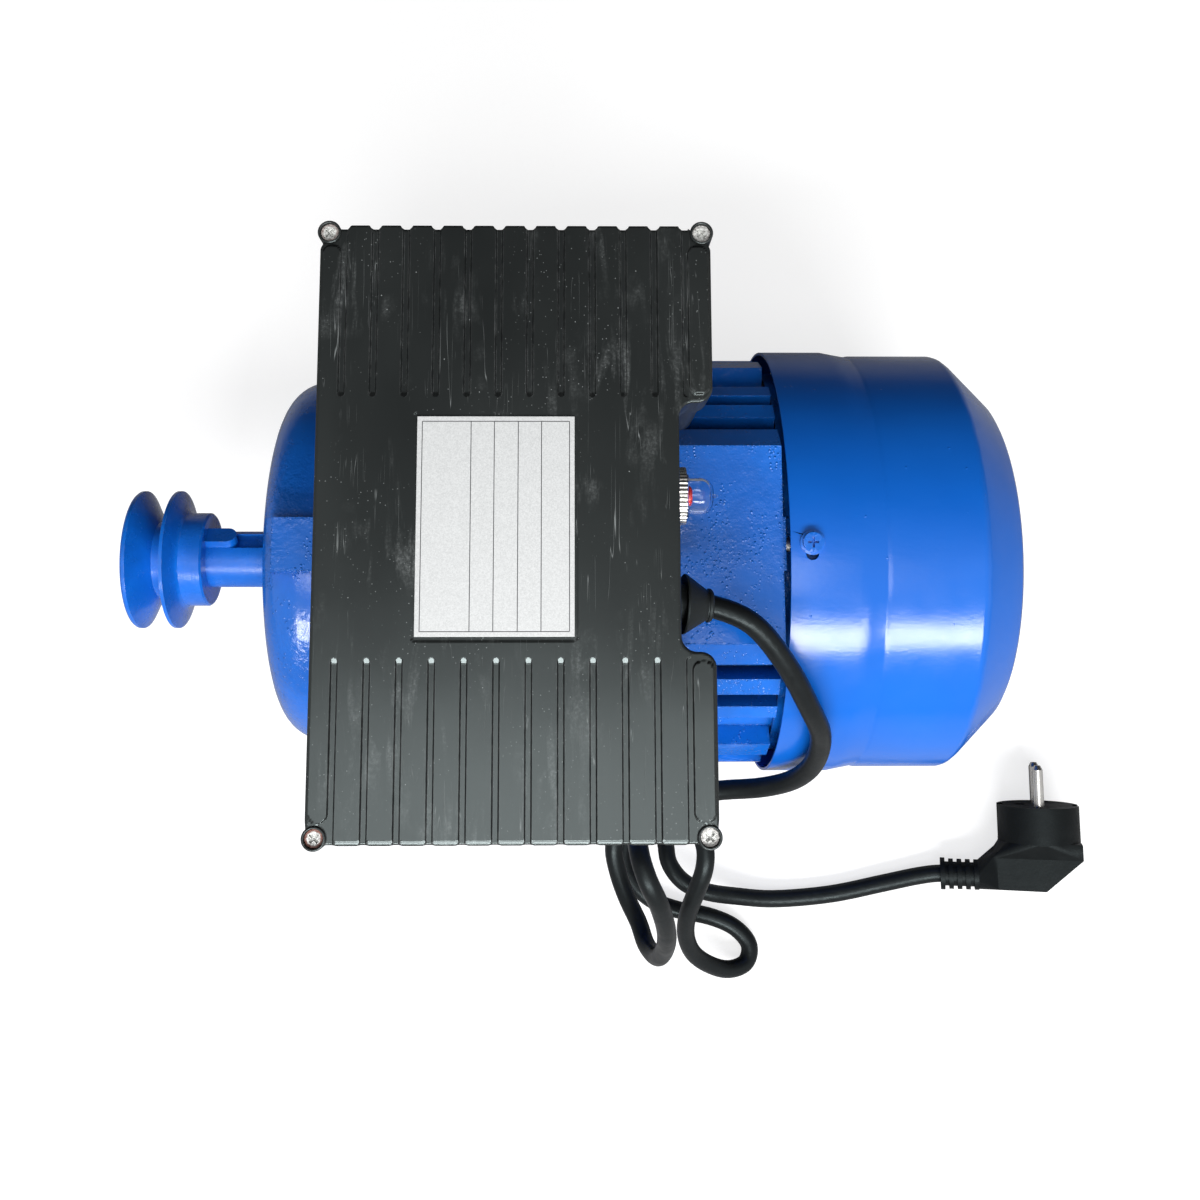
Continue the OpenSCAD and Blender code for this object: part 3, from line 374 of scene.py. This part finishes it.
def label_foil():
    """Satin foil with a ruled frame and dividing lines, left blank."""
    s = Shader("label_foil")
    dividers = (17.1 * MM, 24.5 * MM, 32.1 * MM, 39.5 * MM)
    low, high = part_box("label_plate")
    x = s.math("SUBTRACT", s.axis("X"), low.x)
    y = s.math("ABSOLUTE", s.axis("Y"))
    width, half = high.x - low.x, high.y
    inset, line, sharp = 1.6 * MM, 0.16 * MM, 0.01 * MM

    def stroke(value, at):
        return s.between(s.math("ABSOLUTE", s.math("SUBTRACT", value, at)), line, line * 0.6)

    after = s.between(x, inset, inset + sharp)
    before = s.between(x, width - inset, width - inset - sharp)
    inside_x = s.math("MULTIPLY", after, before)
    inside_y = s.between(y, half - inset, half - inset - sharp)
    ink = s.math("MULTIPLY", stroke(y, half - inset), inside_x)
    for at in (inset, width - inset, *dividers):
        ink = s.math("MAXIMUM", ink, s.math("MULTIPLY", stroke(x, at), inside_y))
    sparkle = s.noise(2400, 2, 0.8)
    foil = s.mix(s.between(sparkle, 0.35, 0.65), (0.46, 0.47, 0.47), (0.59, 0.60, 0.60))
    s.set(Base_Color=s.mix(ink, foil, (0.02, 0.02, 0.025)))
    s.set(Metallic=0.25, Roughness=s.between(sparkle, 0.3, 0.7, 0.42, 0.6))
    s.bumps((s.noise(300, 2), 0.02 * MM))
    return s.material


CAST = cast_enamel()
SHIELD = cast_enamel("shield_enamel", 2.6)
SHEET = sheet_enamel()
TURNED = turned_enamel()
LID = scuffed_plastic()
ZINC = metal("zinc_plate", (0.42, 0.42, 0.41), (0.72, 0.72, 0.70), 0.34)
LID_SCREW = lid_screw_zinc()
POLISHED = metal("bearing_steel", (0.55, 0.56, 0.58), (0.72, 0.73, 0.75), 0.16, (60, 60, 60))
NICKEL = metal("nickel_plate", (0.55, 0.53, 0.50), (0.76, 0.75, 0.72), 0.22, (120, 40, 120))
BRASS = metal("brass_plain", (0.55, 0.38, 0.12), (0.78, 0.60, 0.26), 0.3)
CAST_ALUMINIUM = metal("cast_aluminium", (0.50, 0.51, 0.52), (0.72, 0.73, 0.74), 0.42, (240, 240, 240))
LAMINATIONS = laminations()
SEAL = rubber("seal_rubber", 0.012, 0.5)
CORD = rubber("cord_rubber", 0.006, 0.36, shine=0.2)
PLUG = rubber("plug_pvc", 0.004, 0.46, grain=0.08, shine=0.14)
PHENOLIC = moulded("phenolic_board", (0.16, 0.07, 0.03), (0.30, 0.15, 0.07), 0.45)
FAN_PLASTIC = moulded("fan_plastic", (0.018, 0.018, 0.02), (0.03, 0.03, 0.033), 0.5)
NYLON = moulded("nylon", (0.55, 0.52, 0.42), (0.74, 0.71, 0.62), 0.45)
RED = moulded("red_plastic", (0.70, 0.012, 0.010), (0.92, 0.022, 0.016), 0.3)
WHITE_CAN = moulded("white_can", (0.60, 0.60, 0.57), (0.74, 0.74, 0.71), 0.35)
BLACK_CAN = moulded("black_can", (0.012, 0.012, 0.014), (0.022, 0.022, 0.025), 0.3)

# Each CAD node's material, and the width of its edge rounding in millimetres
FINISH = {
    "housing": (CAST, 0.6),
    "drive_endshield": (SHIELD, 0.9),
    "rear_endshield": (SHIELD, 0.6),
    "endshield_bolts": (ZINC, 0.2),
    "stator_core": (LAMINATIONS, 0),
    "stator_winding": (winding_wire(), 0),
    "drive_bearing_outer": (POLISHED, 0.3),
    "rear_bearing_outer": (POLISHED, 0.3),
    "drive_bearing_inner": (POLISHED, 0.3),
    "rear_bearing_inner": (POLISHED, 0.3),
    "drive_ball_set": (POLISHED, 0),
    "rear_ball_set": (POLISHED, 0),
    "wave_washer": (ZINC, 0.1),
    "start_switch": (PHENOLIC, 0.2),
    "fan_cowl": (SHEET, 0.25),
    "cowl_screws": (TURNED, 0.25),
    "box_base": (scuffed_plastic("base_plastic", 0.5), 0.5),
    "box_gasket": (SEAL, 0.1),
    "box_lid": (LID, 0.35),
    "box_screws": (LID_SCREW, 0.2),
    "box_mount_screws": (ZINC, 0.2),
    "label_plate": (label_foil(), 0.08),
    "terminal_board": (PHENOLIC, 0.3),
    "terminal_studs": (BRASS, 0.2),
    "run_capacitor": (WHITE_CAN, 0.4),
    "start_capacitor": (BLACK_CAN, 0.4),
    "capacitor_straps": (ZINC, 0.1),
    "overload_switch": (FAN_PLASTIC, 0.3),
    "boot_nut": (NICKEL, 0.08),
    "button_boot": (clear_vinyl(), 0),
    "cord_gland": (SEAL, 0.5),
    "power_cord": (CORD, 0),
    "plug_body": (PLUG, 0.8),
    "plug_pins": (NICKEL, 0.3),
    "earth_clips": (BRASS, 0.1),
    "shaft": (shaft_metal(), 0.3),
    "rotor_core": (LAMINATIONS, 0),
    "rotor_cage": (CAST_ALUMINIUM, 0.4),
    "fan": (FAN_PLASTIC, 0.5),
    "fan_circlip": (ZINC, 0.1),
    "shaft_seal": (SEAL, 0.2),
    "shaft_key": (TURNED, 0.4),
    "pulley": (TURNED, 0.3),
    "pulley_set_screw": (ZINC, 0.1),
    "governor_plate": (ZINC, 0.15),
    "governor_collar": (NYLON, 0.2),
    "flyweight_upper": (ZINC, 0.2),
    "flyweight_lower": (ZINC, 0.2),
    "switch_lever": (BRASS, 0.1),
    "reset_button": (RED, 0.2),
}


def dress(node, material, edge_mm):
    """Gives a CAD node its material and softens its edges with modifiers."""
    piece = NODES[node]
    piece.data.materials.clear()
    piece.data.materials.append(material)
    stored = piece.data.attributes.get("custom_normal")
    if stored is not None:
        piece.data.attributes.remove(stored)
    piece.data.polygons.foreach_set("use_smooth", [True] * len(piece.data.polygons))
    weld = piece.modifiers.new("weld", "WELD")
    weld.merge_threshold = 0.004 * MM
    soften(piece, edge_mm)


def soften(piece, edge_mm):
    """Rounds the edges by modifiers and keeps the flats flat."""
    if edge_mm:
        bevel = piece.modifiers.new("edges", "BEVEL")
        bevel.width = edge_mm * MM
        bevel.segments = 2
        bevel.limit_method = "ANGLE"
        bevel.angle_limit = math.radians(32)
        bevel.use_clamp_overlap = True
        bevel.miter_outer = "MITER_ARC"
        bevel.harden_normals = False
    flat = piece.modifiers.new("normals", "WEIGHTED_NORMAL")
    flat.mode = "FACE_AREA"
    flat.weight = 80


def round_cord():
    """Subdivides the cord's tube so that its bends and its section are round."""
    cord = NODES["power_cord"]
    cord.modifiers.remove(cord.modifiers["normals"])
    finer = cord.modifiers.new("round", "SUBSURF")
    finer.levels = finer.render_levels = 1


for node_name, (node_material, edge_width) in FINISH.items():
    dress(node_name, node_material, edge_width)
round_cord()


# ---------------------------------------------------------------- lid

# All in millimetres
LID_LOW, LID_HIGH = (np.array(corner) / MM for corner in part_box("box_lid"))
BOX_LENGTH, BOX_DEPTH = 127.0, 196.0
LID_TOP = LID_HIGH[2]
LID_MID_X = (LID_LOW[0] + LID_HIGH[0]) / 2
BOSS_R, BOSS_HOLE_R = 3.8, 3.0
BOSS_X = (LID_HIGH[0] - LID_LOW[0]) / 2 - BOSS_R
BOSS_Y = LID_HIGH[1] - BOSS_R
BOSSES = [(LID_MID_X + sx * BOSS_X, sy * BOSS_Y) for sx in (-1, 1) for sy in (-1, 1)]
GROOVE_COUNT, GROOVE_PITCH, FIRST_GROOVE = 12, 10.04, -55.5
GROOVES_X = LID_MID_X + FIRST_GROOVE + GROOVE_PITCH * np.arange(GROOVE_COUNT)
GROOVE_END, GROOVE_HALF, GROOVE_DEPTH = 42.3, 0.75, 0.8
# The width of a groove's side wall, and the ledge along the -Y end
WALL = 0.45
LEDGE, LEDGE_DEPTH = 1.7, 0.38
# The rise of the grooves' tips and of the ridges' ends, which catches the key light
TIP_SLOPE = 0.44
LEDGE_FROM_Y = -85.0
RIDGE_R = 1.2
# Only the grooves between these have sloping tips
TIPS_FROM_X, TIPS_TO_X = -56.5, 53.0
# The raised pills beside the outer grooves: inset, start, end, corner and gap to the bay
PILL_INSET, PILL_FROM_X, PILL_END, PILL_R, PILL_GAP = 0.75, 55.0, 91.4, 3.1, 2.7
# Half the label seat, its middle, and its depth
SEAT_HALF, SEAT_X, SEAT_DEPTH = (26.2, 36.2), -12.2, 0.5
# The bay for the gland and the button, and the radius of the outline's corners
BAY_DEPTH, BAY_HALF, CORNER_R = 11.0, 39.5, 5.0
# The notches in the outline where the grooves run out: depth, half width and ease
SCALLOP, SCALLOP_HALF, SCALLOP_EASE = 1.1, 2.1, 1.1
OUTER_NOTCH_X, NOTCH_FROM_Y, NOTCH_EASE_Y = 55.8, 90.0, 3.0
EDGE_R = 0.8
SHELL = 2.6
TOP_THICKNESS = 3.2


def soft_step(value):
    """0 below 0, 1 above 1, and a smooth rise between them."""
    value = np.clip(value, 0, 1)
    return value * value * (3 - 2 * value)


def rounded_both(a, b, radius):
    """Depth inside both of two shapes, with the corner between them rounded."""
    sharp = np.minimum(a, b)
    corner = radius - np.hypot(np.maximum(radius - a, 0), np.maximum(radius - b, 0))
    return np.where((a < radius) & (b < radius), corner, sharp)


def inside_box(x, y, x0, x1, half, radius):
    """Depth inside a rounded rectangle that is centred on Y = 0."""
    qx = np.abs(x - (x0 + x1) / 2) - (x1 - x0) / 2 + radius
    qy = np.abs(y) - half + radius
    return radius - np.hypot(np.maximum(qx, 0), np.maximum(qy, 0)) - np.minimum(np.maximum(qx, qy), 0)


def groove_distance(x, y):
    """Distance to the nearest groove's middle line."""
    nearest = np.abs(x[..., None] - GROOVES_X).min(axis=-1)
    return np.hypot(nearest, np.maximum(GROOVE_END - np.abs(y), 0))


def lid_inside(x, y):
    """Depth inside the lid's outline, scalloped where the grooves run out over its ends."""
    x0, x1 = LID_MID_X - BOX_LENGTH / 2, LID_MID_X + BOX_LENGTH / 2
    outer = inside_box(x, y, x0, x1, BOX_DEPTH / 2, CORNER_R)
    nearest = np.abs(x[..., None] - GROOVES_X).min(axis=-1)
    notch = soft_step((SCALLOP_HALF - nearest) / SCALLOP_EASE)
    gap = np.maximum(notch, soft_step(np.abs(x - LID_MID_X) - OUTER_NOTCH_X))
    near_end = soft_step((np.abs(y) - NOTCH_FROM_Y) / NOTCH_EASE_Y)
    outer = outer - SCALLOP * gap * np.where(y > 0, near_end, 0.2 * near_end)
    bay = -inside_box(x, y, x1 - BAY_DEPTH, x1 + 40, BAY_HALF, CORNER_R)
    depth = rounded_both(outer, bay, CORNER_R)
    for bx, by in BOSSES:
        depth = np.minimum(depth, np.hypot(x - bx, y - by) - BOSS_R + 0.4)
    return depth


def lid_sink(x, y):
    """How far the top lies under its highest level: grooves, ledge, side pills, label seat."""
    beside = groove_distance(x, y) - GROOVE_HALF
    side = BOX_LENGTH / 2 - PILL_INSET - np.abs(x - LID_MID_X)
    far_end = np.abs(x - LID_MID_X) > PILL_FROM_X
    pill = rounded_both(side, PILL_END - np.abs(y), PILL_R)
    beyond_bay = rounded_both(pill, np.abs(y) - BAY_HALF - PILL_GAP, PILL_R)
    pill = rounded_both(np.where(x > LID_MID_X, beyond_bay, pill), beside, PILL_R)
    sink = GROOVE_DEPTH * (1 - soft_step(np.where(far_end, pill, beside) / WALL))
    tip = TIP_SLOPE * (np.abs(y) - GROOVE_END + GROOVE_HALF + WALL)
    beside_pill = (x < LID_MID_X + TIPS_FROM_X) | (x > LID_MID_X + TIPS_TO_X)
    sink = np.where(beside_pill, sink, np.minimum(sink, np.maximum(tip, 0)))
    ridge_end = rounded_both(beside, BOX_DEPTH / 2 - LEDGE + y, RIDGE_R)
    ledge = np.clip(-TIP_SLOPE * ridge_end, 0, LEDGE_DEPTH)
    sink = np.where((y < LEDGE_FROM_Y) & ~far_end, np.maximum(sink, ledge), sink)
    seat = rounded_both(SEAT_HALF[0] - np.abs(x - SEAT_X), SEAT_HALF[1] - np.abs(y), RIDGE_R)
    return sink + SEAT_DEPTH * soft_step(seat / 0.3)


def finer_near(steps, places):
    """The steps of a grid line, with finer ones close to some places."""
    fine = np.arange(-0.45, 0.46, 0.15)
    marks = np.sort(np.concatenate([steps] + [at + fine for at in places]))
    kept = [marks[0]]
    for mark in marks:
        if mark - kept[-1] > 0.09:
            kept.append(mark)
    return np.array(kept)


def slope(field, x, y, step=0.04):
    """How fast a field rises along X and along Y."""
    return (
        (field(x + step, y) - field(x - step, y)) / (2 * step),
        (field(x, y + step) - field(x, y - step)) / (2 * step),
    )


def draped(inset, pitch, edge, relief, finer=False):
    """A grid over the lid's outline, wrapped round its rim. Returns points, quads and normals."""
    xs = np.arange(LID_LOW[0] - 2, LID_HIGH[0] + 2 + pitch, pitch)
    ys = np.arange(LID_LOW[1] - 2, LID_HIGH[1] + 2 + pitch, pitch)
    if finer:
        wall = GROOVE_HALF + WALL / 2
        xs = finer_near(xs, np.concatenate([GROOVES_X - wall, GROOVES_X + wall]))
        ys = finer_near(ys, [LEDGE - BOX_DEPTH / 2, 1 - GROOVE_END, GROOVE_END - 1])
    x, y = np.meshgrid(xs, ys, indexing="ij")
    within = lambda px, py: lid_inside(px, py) - inset
    first = within(x, y)
    for _ in range(2):
        s = within(x, y)
        gx, gy = slope(within, x, y)
        size = np.maximum(np.hypot(gx, gy), 0.3)
        gx, gy = gx / size, gy / size
        lowest = edge * (1 - math.pi / 2)
        kept_low = np.maximum(s, lowest)
        push = np.where(s < lowest, lowest - s, 0)
        x, y = x + gx * push, y + gy * push
    angle = np.clip((edge - kept_low) / edge, 0, math.pi / 2)
    moved = np.where(kept_low < edge, edge * (1 - np.sin(angle)) - kept_low, 0)
    px, py = x + gx * moved, y + gy * moved
    drop = edge * (1 - np.cos(angle))
    sink = relief(px, py)
    sx, sy = slope(relief, px, py)
    flat = np.stack([sx, sy, np.ones_like(sx)], -1)
    normal = flat / np.linalg.norm(flat, axis=-1, keepdims=True) * np.cos(angle)[..., None]
    normal += np.stack([-gx, -gy, np.zeros_like(gx)], -1) * np.sin(angle)[..., None]
    points = np.stack([px, py, LID_TOP - drop - sink], -1).reshape(-1, 3)
    solid = first > lowest
    index = np.arange(x.size).reshape(x.shape)
    corner = lambda a: [a[:-1, :-1], a[1:, :-1], a[1:, 1:], a[:-1, 1:]]
    some = np.any(corner(solid), axis=0)
    quads = np.stack([c[some] for c in corner(index)], -1)
    used, renamed = np.unique(quads, return_inverse=True)
    return points[used], renamed.reshape(-1, 4), normal.reshape(-1, 3)[used]


def rim_loops(faces):
    """The closed chains of edges that only one face uses."""
    edges = np.concatenate([faces[:, [i, (i + 1) % 4]] for i in range(4)])
    key = np.sort(edges, axis=1)
    _, first, count = np.unique(key, axis=0, return_index=True, return_counts=True)
    following = {int(a): int(b) for a, b in edges[first[count == 1]]}
    loops = []
    while following:
        start, _ = next(iter(following.items()))
        loop, at = [], start
        while at in following:
            loop.append(at)
            at = following.pop(at)
        loops.append(loop)
    return loops


def bridge(outer, inner, points):
    """Triangles between two loops that run side by side in the same sense."""
    start = int(np.argmin(np.linalg.norm(points[inner] - points[outer[0]], axis=1)))
    inner = inner[start:] + inner[:start]
    a, b, faces = 0, 0, []
    while a < len(outer) or b < len(inner):
        pa, pb = outer[a % len(outer)], inner[b % len(inner)]
        na, nb = outer[(a + 1) % len(outer)], inner[(b + 1) % len(inner)]
        step_a = np.linalg.norm(points[na] - points[pb]) if a < len(outer) else np.inf
        step_b = np.linalg.norm(points[nb] - points[pa]) if b < len(inner) else np.inf
        if step_a <= step_b:
            faces.append((pa, pb, na))
            a += 1
        else:
            faces.append((pa, pb, nb))
            b += 1
    return faces


def lid_shell():
    """The box lid as one closed shell: ribbed top, side walls, inside, and the walls' lower rim."""
    pitch = 0.6
    top, top_faces, top_normals = draped(0.0, pitch, EDGE_R, lid_sink, finer=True)
    flat_roof = lambda x, y: np.full_like(x, TOP_THICKNESS)
    roof, roof_faces, roof_normals = draped(SHELL, 3.0, EDGE_R, flat_roof)
    points = [top, roof]
    normals = [top_normals, -roof_normals]
    faces = [tuple(f) for f in top_faces] + [tuple(f[::-1] + len(top)) for f in roof_faces]
    count = len(top) + len(roof)
    floors = []
    for skin_faces, offset, skin, skin_normals, facing in (
        (top_faces, 0, top, top_normals, 1),
        (roof_faces, len(top), roof, roof_normals, -1),
    ):
        loop = max(rim_loops(skin_faces), key=len)
        above = [v + offset for v in loop]
        for level in (LID_LOW[2] + 9.0, LID_LOW[2] + 0.4, LID_LOW[2]):
            row = skin[loop].copy()
            row[:, 2] = level
            side = skin_normals[loop].copy()
            side[:, 2] = 0
            side /= np.maximum(np.linalg.norm(side, axis=1, keepdims=True), 1e-6)
            below = list(range(count, count + len(loop)))
            count += len(loop)
            points.append(row)
            normals.append(side * facing)
            for i in range(len(loop)):
                j = (i + 1) % len(loop)
                quad = (above[j], above[i], below[i], below[j])
                faces.append(quad if facing > 0 else quad[::-1])
            above = below
        floors.append(above)
    points, normals = np.concatenate(points), np.concatenate(normals)
    rim_start = len(faces)
    faces += [f[::-1] for f in bridge(floors[0], floors[1], points)]
    mesh = bpy.data.meshes.new("lid_shell")
    mesh.from_pydata((points * MM).tolist(), [], [tuple(int(v) for v in f) for f in faces])
    mesh.polygons.foreach_set("use_smooth", [True] * len(mesh.polygons))
    corners = np.zeros(len(mesh.loops), dtype=np.int32)
    mesh.loops.foreach_get("vertex_index", corners)
    corner_normals = normals[corners]
    first_rim_corner = mesh.polygons[rim_start].loop_start
    corner_normals[first_rim_corner:] = (0, 0, -1)
    mesh.normals_split_custom_set(corner_normals.tolist())
    mesh.materials.append(LID)
    lid = bpy.data.objects.new("lid_shell", mesh)
    bpy.context.scene.collection.objects.link(lid)
    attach(lid, "stator")
    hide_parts("box_lid")


def lathe(name, outline, centres, sides, material, body):
    """Turned rings about vertical axes. The outline is a closed chain of (radius, height)."""
    points, faces = [], []
    for cx, cy in centres:
        start = len(points)
        for i in range(sides):
            a = 2 * math.pi * i / sides
            across, along = math.cos(a), math.sin(a)
            points += [((cx + r * across) * MM, (cy + r * along) * MM, z * MM) for r, z in outline]
        n = len(outline)
        for i in range(sides):
            j = (i + 1) % sides
            for k in range(n):
                m = (k + 1) % n
                quad = (i * n + k, j * n + k, j * n + m, i * n + m)
                faces.append(tuple(start + v for v in quad))
    mesh = bpy.data.meshes.new(name)
    mesh.from_pydata(points, [], faces)
    mesh.polygons.foreach_set("use_smooth", [True] * len(mesh.polygons))
    mesh.materials.append(material)
    piece = bpy.data.objects.new(name, mesh)
    bpy.context.scene.collection.objects.link(piece)
    soften(piece, 0)
    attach(piece, body)


def lid_bosses():
    """The collars of the four lid screws, standing out over the lid's corners."""
    low, high = LID_LOW[2], LID_TOP - 0.35
    seat, thread_r = LID_TOP - 4.4, 2.1
    outline = [
        (BOSS_HOLE_R, high - 0.25),
        (BOSS_HOLE_R + 0.1, high - 0.06),
        (BOSS_HOLE_R + 0.25, high),
        (BOSS_R - 0.4, high),
        (BOSS_R - 0.12, high - 0.12),
        (BOSS_R, high - 0.4),
        (BOSS_R, low),
        (thread_r, low),
        (thread_r, seat),
        (BOSS_HOLE_R, seat),
    ]
    lathe("lid_bosses", outline[::-1], BOSSES, 48, LID, "stator")


# ---------------------------------------------------------------- studio


def soft_box(name, place, target, size, power):
    """A rectangular area light that faces its target."""
    light = bpy.data.lights.new(name, "AREA")
    light.shape = "RECTANGLE"
    light.size, light.size_y = size
    light.energy = power
    lamp = bpy.data.objects.new(name, light)
    lamp.location = place
    lamp.rotation_euler = (Vector(target) - Vector(place)).to_track_quat("-Z", "Y").to_euler()
    bpy.context.scene.collection.objects.link(lamp)


def pale_floor():
    """White paper for the camera. It throws less light back on the motor, least from far +Y."""
    mesh = bpy.data.meshes.new("floor")
    reach = 8.0
    ground = CAD_BOX[0][2] - 0.3 * MM
    corners = [(-reach, -reach), (reach, -reach), (reach, reach), (-reach, reach)]
    mesh.from_pydata([(x, y, ground) for x, y in corners], [], [(0, 1, 2, 3)])
    floor = bpy.data.objects.new("floor", mesh)
    bpy.context.scene.collection.objects.link(floor)
    paper = Shader("studio_paper")
    seen = paper.add("ShaderNodeLightPath").outputs["Is Camera Ray"]
    fibre = paper.between(paper.noise(900, 3), 0.3, 0.7)
    far = paper.between(paper.axis("Y"), 0.16, 0.5)
    thrown = paper.mix(far, (0.30, 0.30, 0.30), (0.02, 0.02, 0.02))
    shown = paper.mix(fibre, (0.36, 0.36, 0.36), (0.38, 0.38, 0.38))
    paper.set(Base_Color=paper.mix(seen, thrown, shown))
    paper.set(Roughness=0.9, Specular_IOR_Level=0.1)
    paper.set(Emission_Color=(1.0, 1.0, 1.0), Emission_Strength=paper.between(seen, 0, 1, 0.02, 0.72))
    paper.bumps((fibre, 0.02 * MM))
    mesh.materials.append(paper.material)


def surround():
    """A room that is bright on the -Y side and dims towards +Y."""
    world = bpy.data.worlds.new("surround")
    bpy.context.scene.world = world
    world.use_nodes = True
    tree = world.node_tree
    background = tree.nodes["Background"]
    direction = tree.nodes.new("ShaderNodeTexCoord")
    split = tree.nodes.new("ShaderNodeSeparateXYZ")
    shift = tree.nodes.new("ShaderNodeMapRange")
    ramp = tree.nodes.new("ShaderNodeValToRGB")
    tree.links.new(direction.outputs["Generated"], split.inputs[0])
    tree.links.new(split.outputs["Y"], shift.inputs["Value"])
    shift.inputs["From Min"].default_value = -1.0
    tree.links.new(shift.outputs[0], ramp.inputs[0])
    tree.links.new(ramp.outputs[0], background.inputs[0])
    # From -Y, through overhead, to +Y
    stops = (
        (0.0, 0.30),
        (0.25, 0.50),
        (0.42, 0.60),
        (0.5, 0.47),
        (0.58, 0.26),
        (0.72, 0.05),
        (1.0, 0.02),
    )
    while len(ramp.color_ramp.elements) < len(stops):
        ramp.color_ramp.elements.new(0.5)
    for element, (place, level) in zip(ramp.color_ramp.elements, stops):
        element.position = place
        element.color = (level, level, level * 1.01, 1)
    background.inputs[1].default_value = 1.25


def studio():
    pale_floor()
    surround()
    soft_box("key", (0.15, -1.05, 1.15), (0, 0, 0.09), (1.3, 0.34), 33)
    soft_box("overhead", (0.0, -0.35, 1.6), (0, 0, 0.09), (0.8, 0.5), 5)


def photo_camera():
    """The camera looks down on the motor from a little behind its cord side."""
    view = bpy.data.cameras.new("camera")
    view.sensor_width = 36.0
    view.lens = 39.42
    view.shift_x = 0.0132
    view.shift_y = -0.1164
    camera = bpy.data.objects.new("camera", view)
    forward = Vector((0.0140, 0.1419, -0.9898)).normalized()
    up = Vector((-0.0005, 0.9899, 0.1419))
    right = forward.cross(up).normalized()
    up = right.cross(forward)
    turn = Matrix((right, up, -forward)).transposed().to_4x4()
    camera.matrix_world = Matrix.Translation((0.0100, -0.0385, 0.6608)) @ turn
    bpy.context.scene.collection.objects.link(camera)
    bpy.context.scene.camera = camera


lid_shell()
lid_bosses()
studio()
photo_camera()
bpy.context.scene.view_settings.view_transform = "Standard"
